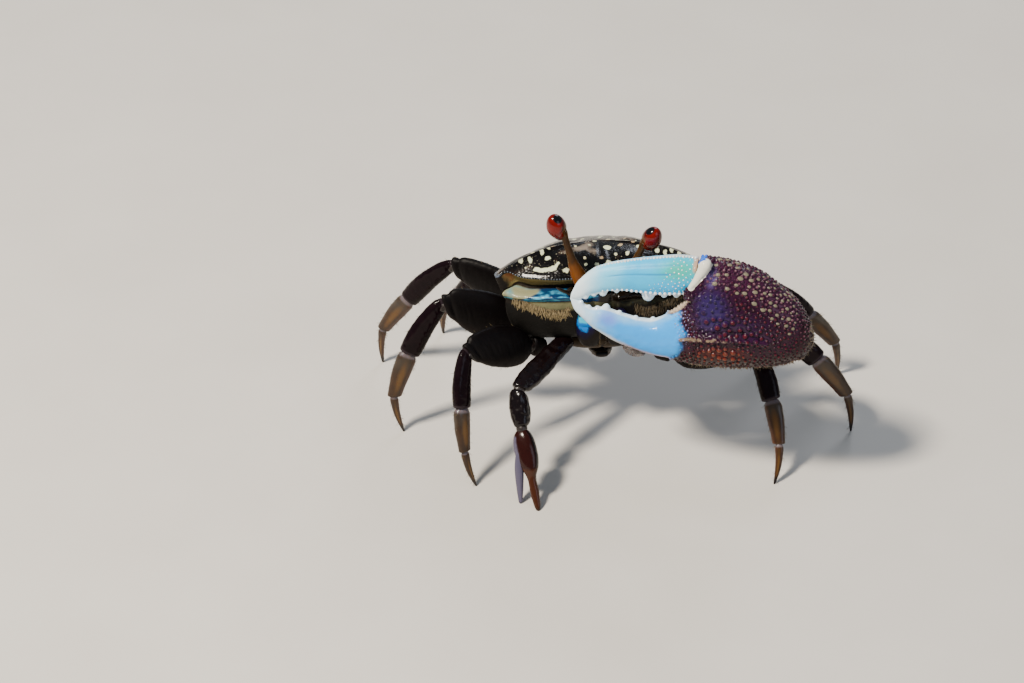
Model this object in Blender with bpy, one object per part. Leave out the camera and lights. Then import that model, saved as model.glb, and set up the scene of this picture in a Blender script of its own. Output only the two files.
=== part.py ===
"""Male fiddler crab, life size, standing on its walking legs with the great claw held across its front.

Sizes are in millimetres and become metres where a mesh is made. The crab faces -Y, its left side is +X,
and +Z is up. The body frame has its origin between the front corners of the carapace. The body stands
nose up, and its shell is turned and leans a little over the legs: on_body places the shell's points and
under_body the roots of the limbs.
"""

import math
import random

import bmesh
import bpy
from mathutils import Matrix, Vector

MM = 0.001
GAP = 0.3

# Stance: the body's tip and height, the shell's turn, lean and shift, and the floor point of the origin
NOSE_UP = math.radians(13.0)
BODY_HEIGHT = 20.5
SHELL_TURN = math.radians(8.8)
SHELL_LEAN = math.radians(3.0)
SHELL_SHIFT = Vector((-0.8, 0.53, 0.4))
STAND_CENTRE = Vector((1.35, -3.75, 0.0))

# Carapace
HALF_WIDTH = 12.5
LENGTH_BACK = 8.3
DOME = 2.65
DOME_FULLNESS = 3.5
BACK_FALL = 1.8
SHOULDER_RISE = 0.6
BODY_DEPTH = 8.2
COLUMNS_PER_SPAN = 4
DORSAL_RINGS = 7

# Eyes
EYE_HALF = Vector((1.1, 1.1, 1.6))
STALK_RADIUS = 0.42
EYE_PLACES = {"right": Vector((-5.0, -8.5, 30.9)), "left": Vector((6.15, -8.5, 29.8))}
STALK_ROOT = (2.35, -6.7, -2.0)
STALK_BEND = (2.6, -7.95, 0.3)

# Walking legs: hip in the body frame, lengths, bends and depths, then each foot's place and its leg's lean
LEGS = {
    2: dict(hip=(6.6, -3.6, -9.6), lengths=(2.0, 9.6, 6.6, 5.3, 4.6), bends=(12, 16), deep=1.15, thigh=1.3),
    3: dict(hip=(6.9, -1.2, -9.4), lengths=(2.3, 11.0, 7.6, 6.1, 5.1), bends=(16, 30), deep=1.3, thigh=1.55),
    4: dict(hip=(6.5, 2.1, -7.9), lengths=(2.3, 10.8, 8.7, 6.4, 5.2), bends=(10, 30), deep=1.2, thigh=1.25),
    5: dict(hip=(5.6, 4.2, -7.7), lengths=(2.2, 8.6, 5.8, 4.9, 4.3), bends=(12, 26), deep=0.85, thigh=0.85),
}
FEET = {
    ("right", 2): (-13.4, -18.6, 24),
    ("right", 3): (-23.3, -8.6, 5),
    ("right", 4): (-27.7, 5.5, -4),
    ("right", 5): (-21.0, 12.5, -8),
    ("left", 2): (21.8, -14.5, 40),
    ("left", 3): (30.4, -2.9, 4),
    ("left", 4): (28.2, 8.9, -8),
    ("left", 5): (20.5, 14.0, -8),
}

# Great claw: its heel, the ways along and up its plane, and its outer side
CLAW_HEEL = Vector((25.54, -14.5, 21.55))
CLAW_YAW, CLAW_ROLL, CLAW_TILT = (math.radians(a) for a in (0.0, 8.0, 15.0))
PALM_END = 14.4

# Raised forms of the great claw: spacing and size of the palm's tubercles, and the fingers' teeth
TUBERCLE_SPACING = 1.45
TUBERCLE_RADIUS = 0.42
KNOB = dict(x=13.55, z=5.1, half=(0.75, 1.35, 0.8))
DACTYL_TEETH = [(16.5, 0.3), (17.9, 0.32), (19.7, 0.62), (23.4, 0.24), (24.9, 0.4), (25.9, 0.26),
                (26.8, 0.24)]
POLLEX_TEETH = [(16.9, 0.26), (18.6, 0.26), (20.6, 0.26), (22.6, 0.26), (24.2, 0.42), (25.2, 0.26),
                (26.2, 0.26), (27.2, 0.24)]

# Outlines of the great claw in its plane, millimetres from the heel: along, and above
PALM_TOP = [(0.0, 0.0), (1.1, 2.2), (2.5, 3.9), (4.8, 5.4), (7.8, 6.8), (10.5, 7.3), (14.4, 7.25)]
CLAW_BELOW = [(0.0, -1.2), (0.5, -2.1), (2.0, -3.2), (5.9, -4.6), (10.5, -5.5), (14.6, -5.8),
              (19.4, -5.65), (23.8, -4.6), (26.8, -3.0), (28.0, -1.9), (28.4, -1.2)]
POLLEX_TOP = [(14.4, 2.2), (15.2, 1.5), (16.6, -0.1), (18.3, -1.4), (20.1, -1.7), (22.5, -1.5),
              (24.3, -1.25), (26.0, -1.6), (27.6, -1.3), (28.4, -1.1)]
DACTYL_TOP = [(14.7, 7.0), (16.9, 6.8), (19.1, 6.2), (21.4, 5.5), (23.6, 4.7), (25.2, 4.0),
              (26.5, 3.2), (27.5, 2.0), (28.2, 0.8), (28.5, -0.3)]
DACTYL_BELOW = [(14.7, 2.4), (16.6, 2.0), (18.9, 1.6), (21.2, 1.4), (23.0, 1.2), (25.0, 0.6),
                (26.3, 0.0), (27.7, -0.75), (28.5, -0.8)]
CLAW_OUTER = [(0.0, 0.4), (0.6, 1.6), (2.0, 2.6), (5.0, 3.5), (9.0, 3.8), (12.5, 3.4), (14.4, 2.7),
              (17.0, 2.0), (22.0, 1.4), (26.0, 1.0), (28.3, 0.4)]
CLAW_INNER = [(0.0, 0.4), (0.6, 1.2), (2.0, 1.9), (5.0, 2.4), (9.0, 2.6), (12.5, 2.3), (14.4, 2.0),
              (17.0, 1.6), (22.0, 1.2), (26.0, 0.8), (28.3, 0.4)]
DACTYL_HALF = [(14.7, 1.4), (17.0, 1.7), (22.0, 1.45), (26.0, 0.95), (28.5, 0.35)]

# Arms: the root that both share, mirrored, in the body frame, then their joints
ARM_HIP = (3.8, -4.4, -8.3)
GREAT_ARM = dict(hinge=Vector((5.4, -9.9, 15.8)), elbow=Vector((20.4, -9.7, 18.5)), wrist=(2.6, 0.6, -1.6))
SMALL_ARM = [Vector((-8.7, -14.7, 11.6)), Vector((-8.1, -17.3, 7.9)), Vector((-7.0, -19.6, 4.4))]
SMALL_FIXED_TIP = Vector((-6.0, -21.4, 0.0))
SMALL_MOVING_FINGER = (Vector((-8.2, -19.7, 4.4)), Vector((-7.8, -21.4, 0.0)))

# Mouth plates and feelers, left one, in the body frame
MOUTH_PLATE = ((1.75, -7.9, -3.6), (1.6, -6.1, -8.8))
FEELER = ((3.5, -5.2, -1.9), (3.9, -8.4, -1.5), (5.6, -10.4, 0.4))

# Sides of the leg and claw sections, and the edge angle above which shading stays sharp
SIDES = 8
CLAW_SIDES = 18
SHARP = math.radians(50)


def clear_scene():
    for obj in list(bpy.data.objects):
        bpy.data.objects.remove(obj, do_unlink=True)


def linear(code):
    """sRGB hex to linear red, green, blue and alpha."""
    parts = [int(code[i : i + 2], 16) / 255 for i in (0, 2, 4)]
    return [p / 12.92 if p <= 0.04045 else ((p + 0.055) / 1.055) ** 2.4 for p in parts] + [1.0]


def paint(name, code, roughness):
    material = bpy.data.materials.new(name)
    material.use_nodes = True
    shader = material.node_tree.nodes["Principled BSDF"]
    shader.inputs["Base Color"].default_value = linear(code)
    shader.inputs["Roughness"].default_value = roughness
    return material


def under_body(point):
    """A point of the body frame in the world, in millimetres, for the roots of the limbs."""
    tipped = Matrix.Rotation(-NOSE_UP, 3, "X") @ Vector(point)
    return tipped + Vector((0, 0, BODY_HEIGHT))


def on_body(point):
    """A point of the shell in the world, in millimetres."""
    turned = Matrix.Rotation(SHELL_TURN, 3, "Z") @ Vector(point)
    leaned = Matrix.Rotation(-SHELL_LEAN, 3, "Y") @ (turned + SHELL_SHIFT)
    return under_body(leaned)


def smooth(points, x):
    """The height at x of a smooth curve through points that are sorted by x."""
    if x <= points[0][0]:
        return points[0][1]
    for i in range(len(points) - 1):
        (x0, y0), (x1, y1) = points[i], points[i + 1]
        if x <= x1:
            before = points[max(i - 1, 0)]
            after = points[min(i + 2, len(points) - 1)]
            slope0 = (y1 - before[1]) / (x1 - before[0])
            slope1 = (after[1] - y0) / (after[0] - x0)
            t = (x - x0) / (x1 - x0)
            run = x1 - x0
            a = (2 * t**3 - 3 * t**2 + 1) * y0 + (t**3 - 2 * t**2 + t) * run * slope0
            b = (3 * t**2 - 2 * t**3) * y1 + (t**3 - t**2) * run * slope1
            return a + b
    return points[-1][1]


def rounded(angle, squareness):
    """Cosine and sine of a superellipse."""
    c, s = math.cos(angle), math.sin(angle)
    return (
        math.copysign(abs(c) ** squareness, c),
        math.copysign(abs(s) ** squareness, s),
    )


def solid(name, points, faces, material):
    """A closed mesh object from millimetre points, turned so that its faces point out."""
    mesh = bpy.data.meshes.new(name)
    placed = [(Vector(p) - STAND_CENTRE) * MM for p in points]
    mesh.from_pydata(placed, [], faces)
    bm = bmesh.new()
    bm.from_mesh(mesh)
    bmesh.ops.triangulate(bm, faces=bm.faces)
    if bm.calc_volume(signed=True) < 0:
        bmesh.ops.reverse_faces(bm, faces=bm.faces)
    bm.to_mesh(mesh)
    bm.free()
    mesh.materials.append(material)
    mesh.shade_smooth()
    mesh.set_sharp_from_angle(angle=SHARP)
    obj = bpy.data.objects.new(name, mesh)
    bpy.context.scene.collection.objects.link(obj)
    return obj


def skin(rings):
    """Points and faces of a closed skin over rings of equal count, each end closed by a fan."""
    count = len(rings[0])
    points = [p for ring in rings for p in ring]
    faces = []
    for k in range(len(rings) - 1):
        for j in range(count):
            here, there = k * count, (k + 1) * count
            after = (j + 1) % count
            faces.append((here + j, here + after, there + after, there + j))
    for k in (0, len(rings) - 1):
        points.append(sum(rings[k], Vector()) / count)
        centre = len(points) - 1
        for j in range(count):
            a, b = k * count + j, k * count + (j + 1) % count
            faces.append((centre, b, a) if k == 0 else (centre, a, b))
    return points, faces


def segment(name, start, end, flat, profile, start_plane, end_plane, material, sides=SIDES):
    """One piece of a limb, lofted from start to end.

    flat is the way across the limb's flat side. Each profile row holds a share of the length and the
    half sizes above, below and across. The planes, each a point and a normal, cut the two ends.
    """
    axis = (end - start).normalized()
    across = (flat - axis * flat.dot(axis)).normalized()
    above = across.cross(axis)
    rings = []
    for share, up, down, wide in profile:
        ring = []
        for j in range(sides):
            c, s = rounded(2 * math.pi * j / sides, 0.85)
            offset = across * (c * wide) + above * (s * (up if s > 0 else down))
            ends = []
            for point, normal in (start_plane, end_plane):
                ends.append((point - start - offset).dot(normal) / axis.dot(normal))
            along = ends[0] + share * (ends[1] - ends[0])
            ring.append(start + offset + axis * along)
        rings.append(ring)
    return solid(name, *skin(rings), material)


def tube(name, path, radii, material, sides=SIDES):
    """A round, tapered limb along a path of points, one radius for each."""
    rings = []
    for k, (point, radius) in enumerate(zip(path, radii)):
        way = path[min(k + 1, len(path) - 1)] - path[max(k - 1, 0)]
        turn = way.to_track_quat("Z", "Y")
        ring = []
        for j in range(sides):
            around = 2 * math.pi * j / sides
            ring.append(point + turn @ Vector((radius * math.cos(around), radius * math.sin(around), 0)))
        rings.append(ring)
    return solid(name, *skin(rings), material)


def bezier(corners, steps):
    """Points along a Bezier curve through three corners."""
    a, b, c = corners
    shares = [k / steps for k in range(steps + 1)]
    return [a * (1 - t) ** 2 + b * 2 * t * (1 - t) + c * t**2 for t in shares]


def joint_planes(before, joint, after):
    """The two cut planes at a joint: the end of the piece before it and the start of the one after."""
    way_in = (joint - before).normalized()
    way_out = (after - joint).normalized()
    normal = (way_in + way_out).normalized()
    half = normal * (GAP / 2)
    return (joint - half, normal), (joint + half, normal)


def square_plane(point, toward):
    return (point, (toward - point).normalized())


def baked(obj):
    """Applies the object's modifiers and keeps its largest closed surface."""
    graph = bpy.context.evaluated_depsgraph_get()
    mesh = bpy.data.meshes.new_from_object(obj.evaluated_get(graph))
    obj.modifiers.clear()
    bm = bmesh.new()
    bm.from_mesh(mesh)
    bmesh.ops.remove_doubles(bm, verts=bm.verts, dist=1e-7)
    bmesh.ops.triangulate(bm, faces=bm.faces)
    groups = []
    left = set(bm.faces)
    while left:
        queue = [left.pop()]
        group = list(queue)
        while queue:
            for edge in queue.pop().edges:
                for face in edge.link_faces:
                    if face in left:
                        left.remove(face)
                        queue.append(face)
                        group.append(face)
        groups.append(group)
    groups.sort(key=lambda g: sum(face.calc_area() for face in g))
    scraps = [face for group in groups[:-1] for face in group]
    bmesh.ops.delete(bm, geom=scraps, context="FACES")
    bm.to_mesh(mesh)
    bm.free()
    obj.data = mesh
    mesh.shade_smooth()
    mesh.set_sharp_from_angle(angle=SHARP)


def grown(obj, by):
    """A copy of a piece, swollen by a distance in millimetres, to cut with."""
    copy = bpy.data.objects.new(obj.name + ".cutter", obj.data.copy())
    bpy.context.scene.collection.objects.link(copy)
    copy.hide_render = True
    copy.display_type = "WIRE"
    normals = [v.normal.copy() for v in copy.data.vertices]
    for vertex, normal in zip(copy.data.vertices, normals):
        vertex.co += normal * (by * MM)
    return copy


def clear_of(obj, neighbours):
    """Cuts a piece back to the gap from its neighbours.

    A grown copy may cross itself in a hollow corner, which only the manifold solver takes.
    """
    cutters = [grown(other, GAP) for other in neighbours]
    for cutter in cutters:
        cut = obj.modifiers.new("clear", "BOOLEAN")
        cut.operation = "DIFFERENCE"
        cut.solver = "MANIFOLD"
        cut.object = cutter
    baked(obj)
    for cutter in cutters:
        bpy.data.objects.remove(cutter, do_unlink=True)


def bump(centre, half, turn):
    """A small closed bead with half sizes along its own axes, for joining to a bigger piece."""
    bm = bmesh.new()
    bmesh.ops.create_icosphere(bm, subdivisions=1, radius=1.0)
    for vertex in bm.verts:
        local = Vector(c * h for c, h in zip(vertex.co, half))
        vertex.co = (centre + turn @ local - STAND_CENTRE) * MM
    mesh = bpy.data.meshes.new("bump")
    bm.to_mesh(mesh)
    bm.free()
    bead = bpy.data.objects.new("bump", mesh)
    bead.hide_render = True
    bead.display_type = "WIRE"
    return bead


def grow_on(obj, bumps):
    """Joins small closed pieces to the one they grow from, as one closed surface."""
    cluster = bpy.data.collections.new("bumps")
    bpy.context.scene.collection.children.link(cluster)
    for piece in bumps:
        cluster.objects.link(piece)
    join = obj.modifiers.new("join", "BOOLEAN")
    join.operation = "UNION"
    join.operand_type = "COLLECTION"
    join.collection = cluster
    baked(obj)
    for piece in bumps:
        bpy.data.objects.remove(piece, do_unlink=True)
    bpy.data.collections.remove(cluster)


def carapace_outline():
    """The carapace's edge from above, from the front lobe round the crab's left side to the back."""
    w, back = HALF_WIDTH, LENGTH_BACK
    corners = [
        (0.0, -8.1), (1.15, -8.0), (1.75, -7.3), (3.4, -6.75), (5.6, -6.7), (8.4, -5.9),
        (w - 1.5, -4.95), (w - 0.35, -5.2), (w, -4.9), (w - 0.1, -3.9), (w - 0.7, -2.6),
        (w - 2.0, 0.2), (w - 3.7, 3.6), (w - 5.5, 6.6), (w - 6.5, 7.7), (3.2, back - 0.1), (0.0, back),
    ]
    half = []
    for (x0, y0), (x1, y1) in zip(corners[:-1], corners[1:]):
        steps = 1 if abs(x1 - x0) + abs(y1 - y0) < 1.3 else COLUMNS_PER_SPAN // 2
        for k in range(steps):
            t = k / steps
            half.append((x0 + t * (x1 - x0), y0 + t * (y1 - y0)))
    half.append(corners[-1])
    mirrored = [(-x, y) for x, y in reversed(half[1:-1])]
    return half + mirrored


def carapace_edge_height(x, y):
    """Height of the carapace's edge: it falls to the back, dips at the lobe and rises at the shoulders."""
    fall = -BACK_FALL * min(max((y + 5.0) / 13.0, 0.0), 1.0) ** 1.2
    lobe = -0.35 * math.exp(-((x / 1.5) ** 2)) if y < 0 else 0.0
    shoulder = SHOULDER_RISE * math.exp(-(((abs(x) - HALF_WIDTH + 1.3) / 1.1) ** 2)) if y < -3.0 else 0.0
    return fall + lobe + shoulder


def carapace_groove(x, y):
    """Depth of the furrows that part the regions of the back."""
    side = abs(x)
    heart = 0.28 * math.exp(-(((side - 2.6) / 0.7) ** 2)) * math.exp(-(((y - 1.6) / 2.2) ** 2))
    across = math.exp(-(((side - 4.6) / 2.2) ** 2))
    neck = 0.3 * across * math.exp(-(((y - 0.2 + 0.45 * (side - 3.0)) / 0.8) ** 2))
    return heart + neck


def carapace(material):
    outline = carapace_outline()
    centre = Vector((0.0, -1.0))
    rings = []
    for k in range(1, DORSAL_RINGS + 1):
        share = (k / DORSAL_RINGS) ** 0.85
        ring = []
        for x, y in outline:
            flat = centre.lerp(Vector((x, y)), share)
            edge = carapace_edge_height(x, y)
            height = edge + (DOME - edge * (1 - share)) * (1 - share**DOME_FULLNESS)
            ring.append(Vector((flat.x, flat.y, height - carapace_groove(flat.x, flat.y))))
        rings.append(ring)
    # Under the edge: drop, then how far the wall stands in at the front, the sides and the back
    layers = (
        (0.3, 0.25, 0.02, 0.0),
        (0.9, 1.3, 0.25, 0.1),
        (1.8, 1.5, 0.6, 0.25),
        (2.4, 0.8, 0.8, 0.4),
        (2.7, -0.5, 0.95, 0.5),
        (3.3, -0.6, 1.3, 0.7),
        (4.9, -0.3, 2.2, 1.2),
        (6.6, 0.5, 3.5, 1.9),
        (7.8, 1.5, 5.2, 2.6),
        (BODY_DEPTH, 2.1, 6.0, 3.0),
    )
    for drop, front, side, back in layers:
        ring = []
        for x, y in outline:
            aim = Vector((0.5 * max(-6.0, min(6.0, x)), -0.5))
            inward = (aim - Vector((x, y))).normalized()
            to_front = min(max((-4.3 - y) / 0.4, 0.0), 1.0) * min(max((12.3 - abs(x)) / 1.5, 0.0), 1.0)
            to_back = min(max((y - 3.0) / 4.0, 0.0), 1.0)
            inset = side + to_back * (back - side)
            inset += to_front * (front - inset)
            if abs(x) < 1.5 and y < 0:
                inset = max(front, 0.15 + 0.25 * drop) if drop > 2.0 else 0.25 * drop
            level = carapace_edge_height(x, y) * (1 - drop / BODY_DEPTH)
            flat = Vector((x, y)) + inward * inset
            ring.append(Vector((flat.x, flat.y, level - drop)))
        rings.append(ring)
    placed = [[on_body(p) for p in ring] for ring in rings]
    return solid("carapace", *skin(placed), material)


def sternum(material):
    """The flat breast between the legs."""
    rings = []
    for share, level in ((0.97, -8.55), (1.0, -9.1), (0.93, -9.9), (0.7, -10.45)):
        ring = []
        for j in range(20):
            c, s = rounded(2 * math.pi * j / 20, 0.8)
            ring.append(on_body((c * 5.4 * share, 0.4 + s * 5.0 * share, level)))
        rings.append(ring)
    return solid("sternum", *skin(rings), material)


def pleon(material):
    """The narrow tail of a male, folded round the back and under the breast."""
    path = [(8.9, -2.8), (8.7, -4.8), (8.1, -7.0), (7.3, -9.0), (5.8, -10.6), (3.2, -11.2),
            (0.5, -11.35), (-2.0, -11.3), (-3.4, -11.1)]
    widths = [2.9, 2.8, 2.6, 2.5, 2.3, 2.0, 1.6, 1.2, 0.7]
    rings = []
    for k, ((y, z), wide) in enumerate(zip(path, widths)):
        before, after = path[max(k - 1, 0)], path[min(k + 1, len(path) - 1)]
        way = Vector((0, after[0] - before[0], after[1] - before[1])).normalized()
        out = Vector((0, -way.z, way.y))
        ring = []
        for j in range(8):
            c, s = rounded(2 * math.pi * j / 8, 0.7)
            ring.append(on_body(Vector((c * wide, y, z)) + out * (s * 0.4)))
        rings.append(ring)
    return solid("pleon", *skin(rings), material)


def maxilliped(side, material):
    """One of the two plates that close the mouth."""
    sign = -1 if side == "right" else 1
    rows = ((0.0, 0.35, 0.35, 0.7), (0.15, 0.5, 0.4, 1.25), (0.45, 0.6, 0.5, 1.5),
            (0.8, 0.5, 0.5, 1.35), (1.0, 0.35, 0.35, 0.8))
    start, end = (on_body((sign * x, y, z)) for x, y, z in MOUTH_PLATE)
    return segment("maxilliped_" + side, start, end, Vector((1, 0, 0)), rows,
                   square_plane(start, end), square_plane(end, end + (end - start)), material, 10)


def stalk_path(side):
    """The stalk's middle line, from inside the orbit, round its upper edge and up to the eye."""
    sign = -1 if side == "right" else 1
    root = on_body((sign * STALK_ROOT[0], *STALK_ROOT[1:]))
    bend = on_body((sign * STALK_BEND[0], *STALK_BEND[1:]))
    corners = (root.lerp(bend, 0.6), bend, bend.lerp(EYE_PLACES[side], 0.3))
    return [root, *bezier(corners, 4), EYE_PLACES[side]]


def eye(side, material):
    """The cornea, a tall bead on the end of its stalk."""
    path = stalk_path(side)
    turn = (path[-1] - path[-2]).to_track_quat("Z", "Y")
    rings = []
    for k in range(1, 9):
        polar = math.pi * k / 9
        ring = []
        for j in range(14):
            around = 2 * math.pi * j / 14
            local = Vector((math.sin(polar) * math.cos(around) * EYE_HALF.x,
                            math.sin(polar) * math.sin(around) * EYE_HALF.y,
                            math.cos(polar) * EYE_HALF.z))
            ring.append(path[-1] + turn @ local)
        rings.append(ring)
    return solid("eye_" + side, *skin(rings), material)


def eyestalk(side, material):
    """The stalk: a swollen root in the orbit, a thin shaft, and a cup that holds the eye."""
    path = stalk_path(side)
    shaft = [path[-2].lerp(path[-1], t) for t in (0.35, 0.7, 1.0)]
    swell = (1.5, 1.9, 2.0, 1.8, 1.4, 1.1, 1.0, 1.15, 1.7)
    radii = [STALK_RADIUS * more for more in swell]
    return tube("eyestalk_" + side, path[:-1] + shaft, radii, material)


def antenna(side, material):
    """A short feeler: two thick joints in the orbit's inner corner and a thin whip."""
    sign = -1 if side == "right" else 1
    corners = [on_body((sign * x, y, z)) for x, y, z in FEELER]
    radii = (0.42, 0.42, 0.38, 0.26, 0.24, 0.2, 0.12)
    return tube("antenna_" + side, bezier(corners, 6), radii, material, 6)


def leg_joints(hip, foot, lean, lengths, bends):
    """Places of hip, base end, knee, and ends of carpus, propodus and dactyl, and the leg's flat way.

    The leg's plane holds hip and foot and leans from the upright. The pieces beyond the knee keep
    their bends, and the knee is where the two halves of the leg meet.
    """
    reach = foot - hip
    along = reach.normalized()
    up = Matrix.Rotation(lean, 3, along) @ (Vector((0, 0, 1)) - along * along.z).normalized()
    base, merus, *outer = lengths
    inner = base + merus
    chain, heading = [Vector((0.0, 0.0))], 0.0
    for length, bend in zip(outer, (0.0, *bends)):
        heading -= math.radians(bend)
        chain.append(chain[-1] + length * Vector((math.cos(heading), math.sin(heading))))
    span, distance = chain[-1].length, reach.length
    lift = math.acos((inner**2 + distance**2 - span**2) / (2 * inner * distance))
    knee = inner * Vector((math.cos(lift), math.sin(lift)))
    down = Vector((distance, 0.0)) - knee
    turn = math.atan2(down.y, down.x) - math.atan2(chain[-1].y, chain[-1].x)
    flat_points = [Vector((0.0, 0.0)), knee * (base / inner), knee]
    for point in chain[1:]:
        spun = Matrix.Rotation(turn, 2) @ point
        flat_points.append(knee + spun)
    return [hip + along * p.x + up * p.y for p in flat_points], along.cross(up)


def walking_leg(side, number, neighbours, shell, tip):
    spec = LEGS[number]
    sign = -1 if side == "right" else 1
    x, y, lean = FEET[side, number]
    hip = under_body((sign * spec["hip"][0], *spec["hip"][1:]))
    foot = Vector((x, y, 0))
    joints, flat = leg_joints(hip, foot, math.radians(-sign * lean), spec["lengths"], spec["bends"])
    d, t = spec["deep"], spec["thigh"]
    profiles = {
        "base": ((0.0, 0.8, 0.8, 0.75), (0.6, 1.0 * d, 1.0 * d, 0.8), (1.0, 1.15 * d, 1.15 * d, 0.8)),
        "merus": ((0.0, 0.9 * d, 0.9 * d, 0.7), (0.12, 1.6 * t, 1.4 * t, 0.8),
                  (0.35, 2.05 * t, 1.85 * t, 0.9), (0.65, 1.85 * t, 1.75 * t, 0.88),
                  (0.88, 1.2 * d, 1.2 * d, 0.78), (1.0, 0.95 * d, 0.95 * d, 0.7)),
        "carpus": ((0.0, 0.75 * d, 0.75 * d, 0.65), (0.2, 1.0 * d, 0.8 * d, 0.75),
                   (0.6, 1.15 * d, 1.0 * d, 0.8), (0.9, 1.1 * d, 1.0 * d, 0.75),
                   (1.0, 0.9 * d, 0.9 * d, 0.65)),
        "propodus": ((0.0, 0.85 * d, 0.85 * d, 0.6), (0.3, 0.95 * d, 0.9 * d, 0.65),
                     (0.8, 0.75 * d, 0.7 * d, 0.55), (1.0, 0.6 * d, 0.6 * d, 0.5)),
        "dactyl": ((0.0, 0.5, 0.5, 0.4), (0.25, 0.45, 0.45, 0.38), (0.65, 0.35, 0.35, 0.3),
                   (1.0, 0.25, 0.25, 0.25)),
    }
    pieces = []
    for k, (piece, profile) in enumerate(profiles.items()):
        start, end = joints[k], joints[k + 1]
        if k == 0:
            first = square_plane(start, end)
        else:
            first = joint_planes(joints[k - 1], start, end)[1]
        if k == len(profiles) - 1:
            last = (Vector((0, 0, 0)), Vector((0, 0, -1)))
        else:
            last = joint_planes(start, end, joints[k + 2])[0]
        look = tip if piece in ("propodus", "dactyl") else shell
        name = f"leg_{side}_{number}_{piece}"
        pieces.append(segment(name, start, end, flat, profile, first, last, look))
    clear_of(pieces[0], neighbours)
    clear_of(pieces[1], neighbours)


def claw_frame():
    """The ways along the great claw to its tips, up its plane and out of its outer side."""
    along = Vector((-math.cos(CLAW_YAW), -math.sin(CLAW_YAW), 0.0))
    level = Vector((math.sin(CLAW_YAW), -math.cos(CLAW_YAW), 0.0))
    out = level * math.cos(CLAW_TILT) + Vector((0, 0, math.sin(CLAW_TILT)))
    up = Vector((0, 0, math.cos(CLAW_TILT))) - level * math.sin(CLAW_TILT)
    along_rolled = along * math.cos(CLAW_ROLL) + up * math.sin(CLAW_ROLL)
    up_rolled = up * math.cos(CLAW_ROLL) - along * math.sin(CLAW_ROLL)
    return along_rolled, up_rolled, out


def claw_point(x, z, d):
    along, up, out = claw_frame()
    return CLAW_HEEL + along * x + up * z + out * d


def claw_ring(x, low, high, outer, inner, sides=CLAW_SIDES):
    return [claw_skin(x, low, high, outer, inner, 2 * math.pi * j / sides) for j in range(sides)]


def claw_skin(x, low, high, outer, inner, around):
    """A point of the claw's skin. around runs from the outer side, 0, over the top to the inner side."""
    c, s = rounded(around, 0.9)
    middle, half = (low + high) / 2, (high - low) / 2
    return claw_point(x, middle + s * half, c * (outer if c > 0 else inner))


def palm_skin(x, around):
    return claw_skin(x, smooth(CLAW_BELOW, x), smooth(PALM_TOP, x),
                     smooth(CLAW_OUTER, x), smooth(CLAW_INNER, x), around)


def on_palm(x, around):
    """A place on the palm and a turn whose Z leaves the shell there."""
    place = palm_skin(x, around)
    along = palm_skin(x + 0.1, around) - palm_skin(x - 0.1, around)
    over = palm_skin(x, around + 0.05) - palm_skin(x, around - 0.05)
    normal = along.cross(over).normalized()
    middle = claw_point(x, (smooth(CLAW_BELOW, x) + smooth(PALM_TOP, x)) / 2, 0)
    if normal.dot(place - middle) < 0:
        normal = -normal
    return place, normal.to_track_quat("Z", "Y")


def palm_tubercles():
    """Beads over the outer side and the top of the palm, and in rows on its lower edge and low ridge."""
    draw = random.Random(7)
    spots = []
    rows = round((PALM_END - 2.5) / (0.95 * TUBERCLE_SPACING))
    for row in range(rows):
        x = 1.3 + 0.95 * TUBERCLE_SPACING * row
        girth = sum(
            (palm_skin(x, a + 0.1) - palm_skin(x, a)).length
            for a in (math.radians(d) for d in range(-80, 115, 6))
        )
        count = max(3, round(girth / TUBERCLE_SPACING))
        for k in range(count):
            share = (k + 0.5 * (row % 2)) / count
            around = math.radians(-62 + 180 * share) + draw.uniform(-0.05, 0.05)
            spots.append((x + draw.uniform(-0.25, 0.25), around, draw.uniform(0.85, 1.15)))
    edge = [(1.6 + 1.15 * k, math.radians(-86), 0.9) for k in range(11)]
    ridge = [(6.4 + 1.0 * k, math.radians(-40 + 0.8 * k), 0.85) for k in range(8)]
    beads = []
    for x, around, size in spots + edge + ridge:
        place, turn = on_palm(x, around)
        r = TUBERCLE_RADIUS * size
        beads.append(bump(place - turn @ Vector((0, 0, 0.12 * r)), (r, r, r), turn))
    return beads


def edge_teeth(outline, teeth, sign):
    """Teeth along a finger's cutting edge, each from its place along the claw and its height."""
    along, up, out = claw_frame()
    turn = Matrix((along, out, up)).transposed()
    made = []
    for x, tall in teeth:
        centre = claw_point(x, smooth(outline, x) - sign * 0.1, 0)
        made.append(bump(centre, (0.95 * tall + 0.1, 0.8 * tall + 0.1, 1.2 * tall + 0.1), turn))
    return made


def manus(material):
    """Palm and fixed finger, one piece of shell, with its beads, its teeth and the knob at the hinge."""
    rings = []
    for x in (0.0, 0.45, 1.2, 2.4, 4.0, 6.0, 8.2, 10.4, 12.4, 13.8, PALM_END):
        rings.append(claw_ring(x, smooth(CLAW_BELOW, x), smooth(PALM_TOP, x),
                               smooth(CLAW_OUTER, x), smooth(CLAW_INNER, x)))
    for x in (14.5, 15.4, 16.6, 18.2, 20.2, 22.4, 24.4, 26.2, 27.5, 28.1, 28.4):
        rings.append(claw_ring(x, smooth(CLAW_BELOW, x), smooth(POLLEX_TOP, x),
                               smooth(CLAW_OUTER, x), smooth(CLAW_INNER, x)))
    hand = solid("cheliped_major_manus", *skin(rings), material)
    along, up, out = claw_frame()
    turn = Matrix((along, out, up)).transposed()
    knob_depth = smooth(CLAW_OUTER, KNOB["x"]) * 0.86
    knob = bump(claw_point(KNOB["x"], KNOB["z"], knob_depth), [KNOB["half"][i] for i in (0, 2, 1)], turn)
    grow_on(hand, [knob] + palm_tubercles() + edge_teeth(POLLEX_TOP, POLLEX_TEETH, 1))
    return hand


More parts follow.
